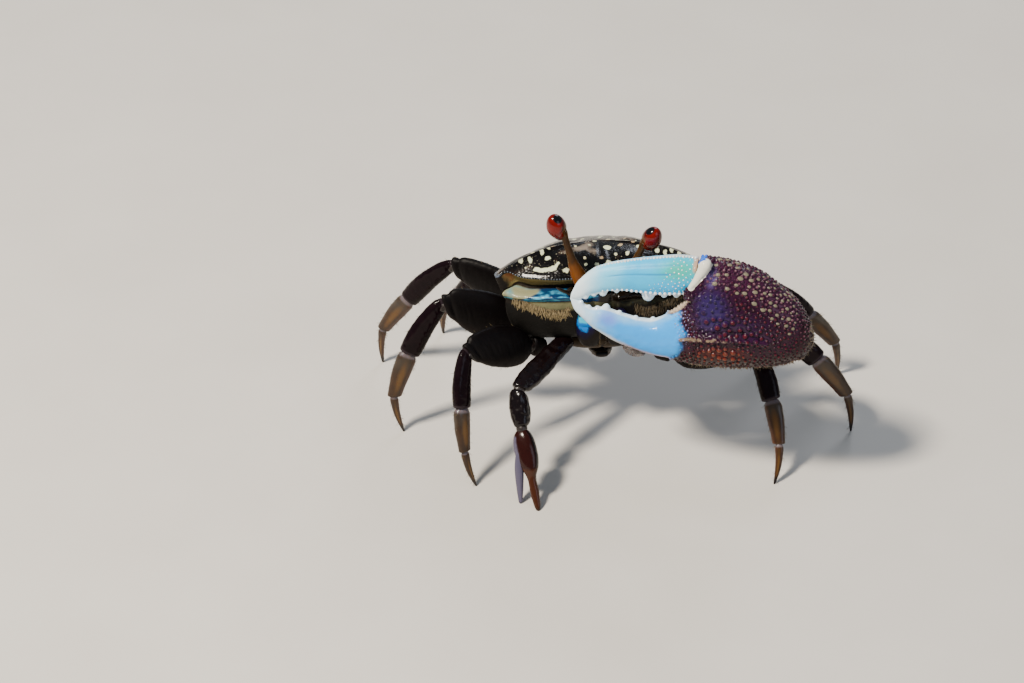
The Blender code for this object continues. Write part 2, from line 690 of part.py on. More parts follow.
def claw_dactyl(material):
    """The moving finger of the great claw, held still."""
    rings = []
    for x in (14.8, 15.6, 17.2, 19.4, 21.6, 23.6, 25.2, 26.5, 27.5, 28.2, 28.5):
        half = smooth(DACTYL_HALF, x)
        rings.append(claw_ring(x, smooth(DACTYL_BELOW, x), smooth(DACTYL_TOP, x), half, half, 14))
    finger = solid("cheliped_major_dactyl", *skin(rings), material)
    grow_on(finger, edge_teeth(DACTYL_BELOW, DACTYL_TEETH, -1))


def great_arm(hand, neighbours, material):
    """Base, merus and carpus of the great claw's arm, which runs out behind the claw."""
    spots = [under_body(ARM_HIP), GREAT_ARM["hinge"], GREAT_ARM["elbow"], claw_point(*GREAT_ARM["wrist"])]
    flat = Vector((0, 1, 0.15))
    rows = {
        "base": ((0.0, 1.3, 1.3, 1.2), (0.5, 1.5, 1.5, 1.3), (1.0, 1.3, 1.3, 1.1)),
        "merus": ((0.0, 1.0, 1.0, 0.9), (0.15, 1.3, 1.2, 1.05), (0.5, 1.6, 1.5, 1.15), (0.85, 1.8, 1.6, 1.2),
                  (1.0, 1.4, 1.3, 1.0)),
        "carpus": ((0.0, 1.3, 1.2, 1.1), (0.3, 1.9, 1.7, 1.7), (0.7, 2.0, 1.8, 1.8), (1.0, 1.6, 1.4, 1.5)),
    }
    made = []
    for k, (piece, profile) in enumerate(rows.items()):
        start, end = spots[k], spots[k + 1]
        first = square_plane(start, end) if k == 0 else joint_planes(spots[k - 1], start, end)[1]
        last = square_plane(end, end * 2 - start) if k == 2 else joint_planes(start, end, spots[k + 2])[0]
        across = Vector((1, 0, 0)) if k == 0 else flat
        name = "cheliped_major_" + piece
        made.append(segment(name, start, end, across, profile, first, last, material, 10))
    clear_of(made[0], neighbours)
    clear_of(made[2], [hand])


def small_arm(neighbours, material):
    """The feeding claw: merus with its base, carpus, palm with fixed finger, and moving finger."""
    spots = [under_body((-ARM_HIP[0], *ARM_HIP[1:])), *SMALL_ARM]
    flat = Vector((0.3, 1.0, -0.6))
    rows = (
        ("merus", ((0.0, 1.1, 1.1, 1.0), (0.4, 1.3, 1.2, 0.9), (0.75, 1.4, 1.3, 0.95), (1.0, 1.0, 1.0, 0.8))),
        ("carpus", ((0.0, 0.9, 0.9, 0.8), (0.35, 1.3, 1.1, 1.0), (0.75, 1.2, 1.1, 1.0),
                    (1.0, 0.8, 0.8, 0.75))),
    )
    for k, (piece, profile) in enumerate(rows):
        start, end = spots[k], spots[k + 1]
        first = square_plane(start, end) if k == 0 else joint_planes(spots[k - 1], start, end)[1]
        last = joint_planes(start, end, spots[k + 2])[0]
        made = segment("cheliped_minor_" + piece, start, end, flat, profile, first, last, material)
        if k == 0:
            clear_of(made, neighbours)
    floor = (Vector((0, 0, 0)), Vector((0, 0, -1)))
    wrist = joint_planes(spots[1], spots[2], spots[3])[1]
    palm = ((0.0, 0.8, 0.8, 0.7), (0.12, 1.2, 1.0, 0.9), (0.3, 1.3, 1.1, 0.95), (0.48, 0.9, 0.9, 0.8),
            (0.55, 0.5, 0.6, 0.6), (0.8, 0.4, 0.5, 0.45), (1.0, 0.3, 0.3, 0.3))
    hand = segment("cheliped_minor_manus", spots[2], SMALL_FIXED_TIP, flat, palm, wrist, floor, material)
    rows = ((0.0, 0.5, 0.5, 0.5), (0.3, 0.55, 0.5, 0.5), (0.7, 0.4, 0.4, 0.4), (1.0, 0.25, 0.25, 0.25))
    root, tip = SMALL_MOVING_FINGER
    moving = segment("cheliped_minor_dactyl", root, tip, flat, rows, square_plane(root, tip), floor, material)
    clear_of(moving, [hand])


def build():
    clear_scene()
    dark = paint("carapace shell", "15110f", 0.25)
    under = paint("underside shell", "3a3026", 0.4)
    leg_shell = paint("leg shell", "1a1114", 0.3)
    leg_tip = paint("leg tip shell", "7a4c28", 0.35)
    cornea = paint("cornea", "a01406", 0.1)
    stalk = paint("eyestalk shell", "7a4a1e", 0.35)
    palm_shell = paint("palm shell", "4a1f3c", 0.35)
    finger_shell = paint("finger shell", "62c8e4", 0.3)

    body = carapace(dark)
    breast = sternum(under)
    clear_of(pleon(under), [body, breast])
    plates = []
    for side in ("right", "left"):
        plates.append(maxilliped(side, under))
        clear_of(plates[-1], [body, breast])
        bead = eye(side, cornea)
        clear_of(eyestalk(side, stalk), [body, bead])
        clear_of(antenna(side, stalk), [body])
        for number in LEGS:
            walking_leg(side, number, [body, breast], leg_shell, leg_tip)
    hand = manus(palm_shell)
    claw_dactyl(finger_shell)
    great_arm(hand, [body, breast, *plates], leg_shell)
    small_arm([body, breast, *plates], leg_shell)


build()
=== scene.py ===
"""Looks of a life-size male fiddler crab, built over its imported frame.

Sizes are in millimetres until a mesh is made. The stance frame has the crab facing -Y with its left side
to +X; the body frame has its origin between the front corners of the carapace.
"""
import math

import bmesh
import bpy
import numpy as np
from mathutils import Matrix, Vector, kdtree, noise


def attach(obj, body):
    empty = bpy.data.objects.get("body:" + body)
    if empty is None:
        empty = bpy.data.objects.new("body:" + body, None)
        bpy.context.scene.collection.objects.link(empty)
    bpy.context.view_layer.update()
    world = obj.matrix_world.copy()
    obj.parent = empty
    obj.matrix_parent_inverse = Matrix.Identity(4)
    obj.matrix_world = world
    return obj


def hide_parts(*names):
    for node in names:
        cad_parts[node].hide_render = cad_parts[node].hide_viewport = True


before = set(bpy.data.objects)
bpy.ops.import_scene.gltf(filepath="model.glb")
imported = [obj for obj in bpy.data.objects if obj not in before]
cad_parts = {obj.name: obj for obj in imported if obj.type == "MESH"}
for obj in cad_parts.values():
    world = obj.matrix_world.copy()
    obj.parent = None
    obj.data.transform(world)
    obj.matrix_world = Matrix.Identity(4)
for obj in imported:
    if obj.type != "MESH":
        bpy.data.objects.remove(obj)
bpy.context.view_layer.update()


# CARAPACE
# The back shield of the crab: a hard, wet, glossy cuticle, black with cream spots, in one piece with the
# orbits, the pale ledge under them and the side walls. It grows as one plate round the whole body.
MM = 0.001
STAND_CENTRE = np.array((1.35, -3.75, 0.0))
NOSE_UP = math.radians(13.0)
BODY_HEIGHT = 20.5
SHELL_TURN = math.radians(8.8)
SHELL_LEAN = math.radians(3.0)
SHELL_SHIFT = np.array((-0.8, 0.53, 0.4))
HALF_WIDTH = 12.5
LENGTH_BACK = 8.3
DOME = 2.65
BACK_FALL = 1.8
BODY_DEPTH = 8.2
EDGE_COLUMNS = 420
DOME_RINGS = 96
WALL_RINGS = 96


def turned(points, angle, first, second):
    """Points turned in the plane of two of their axes."""
    c, s = math.cos(angle), math.sin(angle)
    made = np.array(points, float)
    a, b = made[..., first].copy(), made[..., second].copy()
    made[..., first], made[..., second] = a * c - b * s, a * s + b * c
    return made


def under_body(points):
    """Body points in the stance, for the roots of the limbs."""
    made = turned(points, -NOSE_UP, 1, 2)
    made[..., 2] += BODY_HEIGHT
    return made


def on_body(points):
    """Body points in the stance, for the shell, which is turned and leans a little."""
    made = turned(points, SHELL_TURN, 0, 1) + SHELL_SHIFT
    return under_body(turned(made, SHELL_LEAN, 0, 2))


def eased(values, low, high):
    """0 below low and 1 above high, with an eased way between."""
    t = np.clip((values - low) / (high - low), 0.0, 1.0)
    return t * t * (3 - 2 * t)


def near(values, middle, width):
    """1 at the middle, falling off on both sides."""
    return np.exp(-(((values - middle) / width) ** 2))


def between(values, start, full, fade, end):
    """1 from full to fade, with eased ways up from start and down to end."""
    return eased(values, start, full) * (1 - eased(values, fade, end))


def through(points, x):
    """Heights at x of a smooth curve through points that are sorted by x."""
    px, py = np.array(points, float).T
    slope = np.gradient(py, px)
    x = np.clip(x, px[0], px[-1])
    i = np.clip(np.searchsorted(px, x) - 1, 0, len(px) - 2)
    run = px[i + 1] - px[i]
    t = (x - px[i]) / run
    rise = (3 - 2 * t) * t * t * (py[i + 1] - py[i])
    return py[i] + rise + run * (t * (1 - t) ** 2 * slope[i] - t * t * (1 - t) * slope[i + 1])


def rows_at(rows, x):
    """The three values of a table's rows at x, which is their first column."""
    return [through([(row[0], row[i]) for row in rows], x) for i in (1, 2, 3)]


def travelled(points):
    """How far along a line each of its points lies."""
    return np.concatenate(([0], np.cumsum(np.linalg.norm(np.diff(points, axis=0), axis=1))))


def unit(vectors):
    """One vector or many, each made 1 long."""
    return vectors / np.linalg.norm(vectors, axis=-1, keepdims=True)


def loop(points, count):
    """Evenly spaced points on a smooth closed curve through the given ones."""
    wrapped = np.array(points[-3:] + points + points[:4], float)
    t = np.concatenate(([0], np.cumsum(np.linalg.norm(np.diff(wrapped, axis=0), axis=1) ** 0.5)))
    fine = np.linspace(t[3], t[-4], 12 * count)
    dense = np.stack([through(np.column_stack((t, wrapped[:, k])), fine) for k in range(2)], -1)
    run = travelled(dense)
    even = np.arange(count) / count * run[-1]
    return np.stack([np.interp(even, run, dense[:, k]) for k in range(2)], -1)


def bumpy(points, size, octaves=2, seed=0.0):
    """Noise of about -1 to 1 at points, with features of that size in millimetres."""
    shift = Vector((seed, 2 * seed, -seed))
    spots = points.reshape(-1, 3)
    return np.array([noise.fractal(Vector(p) / size + shift, 1.0, 2.0, octaves) for p in spots])


def skin(rings):
    """Points and faces of a closed skin over rings of equal count."""
    n, m = rings.shape[:2]
    ends = np.stack((rings[0].mean(axis=0), rings[-1].mean(axis=0)))
    points = np.concatenate((rings.reshape(-1, 3), ends))
    k, j = np.meshgrid(np.arange(n - 1), np.arange(m), indexing="ij")
    here, after = k * m + j, k * m + (j + 1) % m
    faces = np.stack((here, after, after + m, here + m), -1).reshape(-1, 4).tolist()
    j = np.arange(m)
    faces += np.stack((np.full(m, n * m), (j + 1) % m, j), -1).tolist()
    last = (n - 1) * m
    faces += np.stack((np.full(m, n * m + 1), last + j, last + (j + 1) % m), -1).tolist()
    return points, faces


def spread(values):
    """A value for each point of a skin from the values on its rings."""
    return np.concatenate((values.ravel(), [values[0].mean(), values[-1].mean()]))


def put(name, data):
    """A new object in the scene."""
    obj = bpy.data.objects.new(name, data)
    bpy.context.scene.collection.objects.link(obj)
    return obj


def point_at(obj, place, target):
    """Sets a lamp or camera down at a place, turned to its target."""
    obj.location = place
    obj.rotation_euler = (Vector(target) - Vector(place)).to_track_quat("-Z", "Y").to_euler()


def piece(name, points, faces, material, nodes=()):
    """A closed mesh from stance millimetres, which rides on the model and stands for its CAD nodes."""
    mesh = bpy.data.meshes.new(name)
    mesh.from_pydata(((points - STAND_CENTRE) * MM).tolist(), [], faces)
    bm = bmesh.new()
    bm.from_mesh(mesh)
    if bm.calc_volume(signed=True) < 0:
        bmesh.ops.reverse_faces(bm, faces=bm.faces)
    bm.to_mesh(mesh)
    bm.free()
    mesh.materials.append(material)
    mesh.shade_smooth()
    obj = put(name, mesh)
    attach(obj, "root")
    if nodes:
        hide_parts(*nodes)
    return obj


def mark(obj, **values):
    """Stores values for each point, which the material reads by name."""
    for name, value in values.items():
        layer = obj.data.attributes.new(name, "FLOAT", "POINT")
        layer.data.foreach_set("value", np.asarray(value, np.float32))


def srgb(code):
    """sRGB hex to linear red, green, blue and alpha."""
    parts = [int(code[i : i + 2], 16) / 255 for i in (0, 2, 4)]
    return [p / 12.92 if p <= 0.04045 else ((p + 0.055) / 1.055) ** 2.4 for p in parts] + [1.0]


def surface(name):
    """A new material and its shader."""
    material = bpy.data.materials.new(name)
    material.use_nodes = True
    return material, material.node_tree.nodes["Principled BSDF"]


def connect(material, node, inputs):
    """Sets a node's inputs, each to a value or to another node's socket."""
    for key, value in inputs.items():
        if isinstance(value, bpy.types.NodeSocket):
            material.node_tree.links.new(value, node.inputs[key])
        else:
            node.inputs[key].default_value = value


def add(material, kind, settings, inputs):
    """Adds a shader node with its settings and inputs."""
    node = material.node_tree.nodes.new("ShaderNode" + kind)
    for key, value in settings.items():
        setattr(node, key, value)
    connect(material, node, inputs)
    return node


def grain_in(material, coords, scale, detail):
    """Noise with features of 1 / scale metres."""
    return add(material, "TexNoise", {}, {"Vector": coords, "Scale": scale, "Detail": detail}).outputs["Fac"]


def mark_in(material, label):
    """The value that a mark has at each place."""
    return add(material, "Attribute", {"attribute_name": label}, {}).outputs["Fac"]


def ramp(material, value, low, high):
    """0 where the value is low and 1 where it is high, with an eased way between."""
    return add(material, "MapRange", {"interpolation_type": "SMOOTHSTEP"},
               {"Value": value, "From Min": low, "From Max": high}).outputs[0]


def blend(material, share, low, high):
    """One colour at share 0 and another at share 1, each an sRGB hex or a node's socket."""
    low, high = (srgb(colour) if isinstance(colour, str) else colour for colour in (low, high))
    return add(material, "Mix", {"data_type": "RGBA"}, {0: share, 6: low, 7: high}).outputs[2]


def lay(material, colour, layers, ragged=None):
    """The colour with others over it, each from a low to a high value of its mark.

    ragged is added to the marks, to make the edges uneven.
    """
    for label, low, high, over in layers:
        value = mark_in(material, label)
        if ragged is not None:
            value = add(material, "Math", {"operation": "ADD"}, {0: value, 1: ragged}).outputs[0]
        colour = blend(material, ramp(material, value, low, high), colour, over)
    return colour


half_outline = [
    (0.0, -8.1), (1.15, -8.0), (1.75, -7.3), (3.4, -6.75), (5.6, -6.7), (8.4, -5.9),
    (11.0, -4.95), (12.15, -5.2), (12.5, -4.9), (12.4, -3.9), (11.8, -2.6), (10.5, 0.2),
    (8.8, 3.6), (7.0, 6.6), (6.0, 7.7), (3.2, 8.2), (0.0, LENGTH_BACK),
]
outline = loop(half_outline + [(-x, y) for x, y in half_outline[-2:0:-1]], EDGE_COLUMNS)
edge_x, edge_y = outline[:, 0], outline[:, 1]
edge_z = -BACK_FALL * np.clip((edge_y + 5.0) / 13.0, 0.0, 1.0) ** 1.2
edge_z -= 0.35 * near(edge_x, 0.0, 1.5) * (edge_y < 0)
edge_z += 0.6 * near(np.abs(edge_x), HALF_WIDTH - 1.3, 1.1) * eased(-edge_y, 2.6, 3.8)

# The dome: rings that grow from the middle of the back to the edge, with the furrows between its regions
rings = []
drops = []
for k in range(1, DOME_RINGS + 1):
    share = (k / DOME_RINGS) ** 0.85
    x, y = edge_x * share, -1.0 + (edge_y + 1.0) * share
    z = edge_z + (DOME - edge_z * (1 - share)) * (1 - share**3.5)
    z -= 0.28 * near(np.abs(x), 2.6, 0.7) * near(y, 1.6, 2.2)
    z -= 0.3 * near(np.abs(x), 4.6, 2.2) * near(y - 0.2 + 0.45 * (np.abs(x) - 3.0), 0.0, 0.8)
    z -= 0.12 * near(np.abs(x), 1.0, 0.5) * near(y, -5.8, 1.6)
    z += 0.05 * near(share, 0.965, 0.02)
    rings.append(np.stack((x, y, z), -1))
    drops.append(np.zeros(EDGE_COLUMNS))

# The walls under the edge: how far they stand in at each drop, in front, at the sides and at the back
wall = [
    (0.0, 0.0, 0.0, 0.0), (0.3, 0.28, 0.02, 0.0), (0.9, 1.3, 0.25, 0.1), (1.8, 1.5, 0.6, 0.25),
    (2.3, 1.1, 0.78, 0.38), (2.5, -0.1, 0.9, 0.45), (2.75, -0.6, 1.0, 0.52), (3.3, -0.5, 1.3, 0.7),
    (3.6, -0.25, 1.45, 0.75), (3.9, -0.3, 1.6, 0.85), (4.9, -0.3, 2.2, 1.2), (6.6, 0.5, 3.5, 1.9),
    (7.8, 1.5, 5.2, 2.6), (BODY_DEPTH, 2.1, 6.0, 3.0),
]
aim = np.stack((0.5 * np.clip(edge_x, -6.0, 6.0), np.full(EDGE_COLUMNS, -0.5)), -1)
inward = unit(aim - outline)
in_front = eased(-edge_y, 4.2, 4.75) * eased(12.35 - np.abs(edge_x), 0.0, 1.3)
at_back = eased(edge_y, 3.0, 7.0)
at_lobe = eased(-np.abs(edge_x), -1.9, -1.1) * (edge_y < 0)
for k in range(1, WALL_RINGS + 1):
    drop = BODY_DEPTH * (k / WALL_RINGS) ** 1.15
    front, side, back = rows_at(wall, drop)
    inset = side + at_back * (back - side)
    inset += in_front * (front - inset)
    lobe = max(front, 0.15 + 0.25 * drop) if drop > 2.0 else 0.25 * drop
    inset += at_lobe * (lobe - inset)
    flat = outline + inward * inset[:, None]
    raised = between(drop, 0.5, 2.2, 4.2, 7.6) * (0.75 - 0.3 * eased(np.abs(edge_x), 5.0, 11.0))
    level = edge_z * (1 - drop / BODY_DEPTH) - drop + raised * in_front
    rings.append(np.column_stack((flat, level)))
    drops.append(np.full(EDGE_COLUMNS, drop))
shield = np.array(rings)
drop = spread(np.array(drops))
front_share = spread(np.tile(in_front, (len(rings), 1)))
body_points, faces = skin(shield)
bx, by = body_points.T[:2]
ax = np.abs(bx)

# Wet black cuticle: pigment and wax layers under a thin film of water, so deep colour and sharp gloss.
# Scales are per metre: flecks of 0.7 mm, blotches of 2.4 mm, spot edges of 0.4 mm and pits of 0.24 mm
wet_cuticle, shader = surface("wet black cuticle")
coords = add(wet_cuticle, "TexCoord", {}, {}).outputs["Object"]
fleck = grain_in(wet_cuticle, coords, 1500.0, 4.0)
blotch = grain_in(wet_cuticle, coords, 420.0, 3.0)
crumb = grain_in(wet_cuticle, coords, 2600.0, 2.0)
broad_edge, fine_edge, spot_edge = (
    add(wet_cuticle, "Math", {"operation": "MULTIPLY_ADD"}, {0: source, 1: size, 2: -size / 2}).outputs[0]
    for source, size in ((blotch, 1.6), (fleck, 0.5), (crumb, 0.34))
)
colour = lay(wet_cuticle, blend(wet_cuticle, fleck, "020202", "0d0909"), [
    ("brown", 0.42, 0.62, "2c1d13"), ("patch", 0.44, 0.7, "7e7266"),
], broad_edge)
# In this list the orbit's deep dark band is painted shade, the dark lower face is partly painted shade, and
# the bright cyan streaks are painted highlights.
colour = lay(wet_cuticle, colour, [
    ("wall", 0.2, 0.6, "120d08"), ("orbit", 0.15, 0.75, "7c6c40"), ("orbit_outer", 0.2, 0.9, "6e3e1e"),
    ("orbit_deep", 0.25, 0.6, "1c1408"), ("mouth_dark", 0.25, 0.45, "070503"),
    ("under_ledge", 0.2, 0.9, "626044"), ("wet_blue", 0.2, 0.7, "0c3056"), ("wet_cyan", 0.4, 1.0, "54b4d8"),
    ("ledge", 0.25, 0.95, "8c8c6c"), ("ledge_cyan", 0.3, 0.9, "3a93a4"), ("rim", 0.3, 0.7, "565f70"),
], fine_edge)
cream = blend(wet_cuticle, mark_in(wet_cuticle, "spot_tint"), "dfe6c0", "a2835f")
colour = lay(wet_cuticle, colour, [("spot", -0.04, 0.05, cream)], spot_edge)
# Flecks of wax about 0.15 mm wide and 0.4 mm apart, on the back and where the blotches are
cells = add(wet_cuticle, "TexVoronoi", {}, {"Vector": coords, "Scale": 2500.0}).outputs["Distance"]
dot = ramp(wet_cuticle, cells, 0.24, 0.12)
for share in (ramp(wet_cuticle, blotch, 0.5, 0.62), mark_in(wet_cuticle, "on_top")):
    dot = add(wet_cuticle, "Math", {"operation": "MULTIPLY"}, {0: dot, 1: share}).outputs[0]
colour = blend(wet_cuticle, dot, colour, "8f8a74")
pits = add(wet_cuticle, "TexVoronoi", {}, {"Vector": coords, "Scale": 4200.0}).outputs["Distance"]
pitted = add(wet_cuticle, "Bump", {}, {"Strength": 0.4, "Distance": 0.06 * MM, "Height": pits}).outputs[0]
relief = add(wet_cuticle, "Bump", {},
             {"Strength": 0.4, "Distance": 0.12 * MM, "Height": fleck, "Normal": pitted}).outputs[0]
wet = mark_in(wet_cuticle, "wet")
gloss = add(wet_cuticle, "MapRange", {}, {"Value": blotch, "To Min": 0.13, "To Max": 0.32}).outputs[0]
gloss = add(wet_cuticle, "Mix", {}, {0: wet, 2: 0.6, 3: gloss}).outputs[0]
film = add(wet_cuticle, "Math", {"operation": "MULTIPLY"}, {0: wet, 1: 0.12}).outputs[0]
connect(wet_cuticle, shader, {
    "Base Color": colour, "Roughness": gloss, "Normal": relief, "Coat Weight": film, "Coat Roughness": 0.08,
    "Specular IOR Level": 0.2,
})

wrinkle = 0.035 * bumpy(body_points, 0.9, 3, 4.0) * eased(drop, 0.2, 1.0)
wrinkle += 0.02 * bumpy(body_points, 2.2, 2, 9.0)
body_points[:, 2] += wrinkle * 0.6
body_points[:, 1] -= wrinkle * front_share
carapace = piece("carapace_shield", on_body(body_points), faces, wet_cuticle, ["carapace"])

# Cream spots: places from front to back on the body frame, half sizes, turn and how tan they are
SPOT_COUNT = 112
SPOT_SPACING = 1.18
SPOT_SCALE = 0.82
HOOK_HALF_WIDTH = 0.2
spots = [
    (-9.4, -2.6, 0.3, 0.42, 0, 0.5), (-9.45, -4.35, 0.3, 0.28, 20, 0.2), (-8.3, -4.35, 0.3, 0.36, 35, 0.0),
    (-7.95, -3.1, 0.32, 0.44, 30, 0.5), (-6.9, -3.6, 0.3, 0.34, 0, 0.1), (-6.1, -3.0, 0.34, 0.42, 40, 0.3),
    (-8.9, -4.85, 0.14, 0.14, 0, 0.3), (-5.4, -2.4, 0.3, 0.4, 20, 0.9), (4.1, -2.3, 0.36, 0.4, 0, 0.9),
    (-6.2, -4.4, 0.42, 0.36, 0, 0.0), (-4.2, -6.1, 0.42, 0.24, 0, 0.15), (0.9, -3.4, 0.5, 0.62, 30, 0.0),
    (1.8, -4.7, 0.24, 0.28, 0, 0.3), (2.5, -2.9, 0.3, 0.5, -30, 0.8), (3.2, -4.6, 0.26, 0.42, -25, 0.15),
    (0.9, -5.9, 0.5, 0.24, 30, 0.0), (-0.5, -6.2, 0.34, 0.28, 0, 0.1), (0.1, -5.3, 0.28, 0.26, 0, 0.9),
    (-1.8, -5.8, 0.24, 0.22, 0, 0.1), (-1.85, -5.05, 0.2, 0.2, 0, 0.5), (6.8, -4.0, 0.26, 0.34, 20, 0.1),
    (7.7, -4.2, 0.28, 0.3, 0, 0.2), (8.5, -4.0, 0.26, 0.34, 0, 0.1), (9.35, -4.35, 0.26, 0.28, 0, 0.2),
    (7.9, -2.5, 0.26, 0.38, 0, 0.7), (10.4, -3.8, 0.26, 0.3, 0, 0.3), (5.2, -5.2, 0.3, 0.32, 10, 0.1),
    (4.6, -3.3, 0.32, 0.4, -20, 0.2),
]
draw = np.random.default_rng(3)
while len(spots) < SPOT_COUNT:
    x, y = draw.uniform(-11.6, 11.6), draw.uniform(-3.2, 7.6)
    free = all(math.hypot(x - s[0], y - s[1]) > SPOT_SPACING for s in spots)
    if free and abs(x) < 11.7 - 0.85 * max(y + 1.5, 0) ** 0.9:
        size = draw.uniform(0.14, 0.36)
        tall, turn = size * draw.uniform(0.9, 1.6), draw.uniform(-40, 40)
        spots.append((x, y, size, tall, turn, draw.uniform(0, 1) ** 1.5))
inside = np.full(len(bx), -1.0)
tan = np.zeros(len(bx))
for x, y, across, long, angle, tint in spots:
    c, s = math.cos(math.radians(angle)), math.sin(math.radians(angle))
    u, v = (bx - x) * c + (by - y) * s, (by - y) * c - (bx - x) * s
    across, long = SPOT_SCALE * across, SPOT_SCALE * long
    depth = (1 - np.hypot(u / across, v / long)) * min(across, long)
    tan = np.where(depth > inside, tint, tan)
    inside = np.maximum(inside, depth)
hook = [(-7.8, -5.3), (-6.9, -5.62), (-6.1, -5.72), (-5.4, -5.72), (-5.1, -5.35)]
for (x0, y0), (x1, y1) in zip(hook[:-1], hook[1:]):
    way = np.array((x1 - x0, y1 - y0))
    t = np.clip(((bx - x0) * way[0] + (by - y0) * way[1]) / (way @ way), 0, 1)
    depth = HOOK_HALF_WIDTH - np.hypot(bx - x0 - t * way[0], by - y0 - t * way[1])
    tan = np.where(depth > inside, 0.0, tan)
    inside = np.maximum(inside, depth)
on_top = 1 - eased(drop, 0.0, 0.12)
# Painted shadow of the great claw: on the face's left side the ledge, the blue band and the band under the
# ledge are dimmed to about a third.
lit_side = 1 - 0.65 * eased(bx, -1.2, 0.3)
outer_share = eased(ax, 6.0, 7.8)
streak = bumpy(body_points * (0.4, 1.0, 1.8), 0.7, 3, 12.0)
blue_band = lit_side**2 * front_share * between(drop, 2.2, 2.35, 3.3, 3.6) * (1 - eased(ax, 8.8, 10.2))
ledge_foot = 2.1 + 0.95 * eased(ax, 6.3, 10.4)
ledge = between(drop, 2.15, 2.4, ledge_foot, ledge_foot + 0.3)
ledge *= (0.1 + 0.9 * outer_share) * eased(ax, 2.0, 4.0)
mark(
    carapace,
    spot=np.where(on_top > 0.5, inside, -1.0),
    spot_tint=tan,
    brown=on_top * (0.28 + 0.18 * near(bx, 0.0, 5.0) * eased(by, -4.0, 0.0)),
    patch=on_top * (0.18 + 0.42 * near(bx, -1.4, 1.7) * near(by, -3.4, 1.6)
                    + 0.14 * near(bx, 0.0, 6.0) * near(by, 0.5, 3.5)),
    wall=eased(drop, 0.1, 0.6),
    orbit=front_share * between(drop, 0.12, 0.3, 1.9, 2.2),
    orbit_outer=front_share * between(drop, 0.1, 0.3, 1.2, 1.8) * eased(ax, 9.6, 10.8),
    # The deep back of the orbit is darkened as painted shade.
    orbit_deep=0.8 * front_share * between(drop, 1.6, 2.0, 2.2, 2.35) * (1 - 0.6 * eased(ax, 10.2, 11.4)),
    # The lower face is darkened, partly its own dark olive colour and partly painted shade under the ledge
    # and the great claw.
    mouth_dark=front_share * eased(drop, 3.4, 4.4) * (1 - eased(ax, 8.5, 11.0) * 0.5),
    wet_blue=blue_band,
    # Bright cyan streaks on the blue band are painted highlights.
    wet_cyan=blue_band * (0.35 + 0.7 * streak + 0.3 * near(drop, 2.8, 0.2)),
    ledge=front_share * (lit_side * ledge + 0.15 * streak * (drop > 2.1) * (drop < 3.4)),
    ledge_cyan=lit_side * front_share * (
        0.6 * between(drop, 2.3, 2.5, 3.0, 3.4) * near(ax, 10.9, 0.7)
        + 0.7 * near(drop, 3.2 + 0.15 * outer_share, 0.14) * eased(ax, 2.5, 4.0)
        + 0.5 * near(drop, 2.32, 0.08) * outer_share + 0.35 * near(drop, 3.8, 0.12) * near(ax, 6.5, 2.5)),
    under_ledge=lit_side * front_share * between(drop, 3.4, 3.6, 4.0, 5.0) * (1 - 0.8 * eased(ax, 8.2, 10.0)),
    rim=eased(ax, 11.2, 12.4) * near(drop, 0.12, 0.14) * eased(-by, 2.0, 3.2),
    on_top=on_top,
    wet=np.maximum(on_top, front_share * between(drop, 2.2, 2.5, 3.4, 3.7)),
)


# CARAPACE EDGE BEADS
# A row of tiny knobs of the same cuticle along the front and side edges of the shield, where the living crab
# grows a finely beaded line; their pale grey-blue is painted on as a line of glints.
BEAD_SPACING = 0.34
BEAD_RADIUS = 0.095


def bead_cluster(name, centres, sizes, material):
    """Many small round knobs as one mesh; sizes are their radii."""
    bm = bmesh.new()
    bmesh.ops.create_icosphere(bm, subdivisions=2, radius=1.0)
    ball = np.array([v.co[:] for v in bm.verts])
    ball_faces = np.array([[v.index for v in f.verts] for f in bm.faces])
    bm.free()
    points = np.concatenate([c + ball * r for c, r in zip(centres, sizes)])
    faces = np.concatenate([ball_faces + k * len(ball) for k in range(len(centres))]).tolist()
    return piece(name, points, faces, material)


# Bead cuticle: dark to pale grey-blue, the pale a painted highlight, so each knob shows a small glint
worn_cuticle, shader = surface("worn pale cuticle")
coords = add(worn_cuticle, "TexCoord", {}, {}).outputs["Object"]
colour = blend(worn_cuticle, grain_in(worn_cuticle, coords, 1200.0, 2.0), "1a1a20", "7d8794")
connect(worn_cuticle, shader, {"Base Color": colour, "Roughness": 0.22})

edge_line = np.column_stack((outline, edge_z))[edge_y < -2.0]
edge_line = edge_line[np.argsort(edge_line[:, 0])]
run = travelled(edge_line)
steps = np.arange(0.2, run[-1], BEAD_SPACING)
row = np.stack([np.interp(steps, run, edge_line[:, k]) for k in range(3)], -1)
row = row[np.abs(row[:, 0]) > 1.6] - (0, 0, 0.02)
sizes = BEAD_RADIUS * (0.85 + 0.3 * draw.random(len(row)))
bead_cluster("carapace_edge_beads", on_body(row), sizes, worn_cuticle)


# MOUTH FRINGE
# Two bands of stiff golden bristles under the orbits, which strain water for the gills. They are chitin
# hairs set in rows in the shell below the pale ledge, and hang down over the mouth's side plates.
FRINGE_ROWS = 7
FRINGE_SPACING = 0.1
THIRD_TURNS = (0.0, 2.094, 4.189)
SIDES = (("right", -1), ("left", 1))


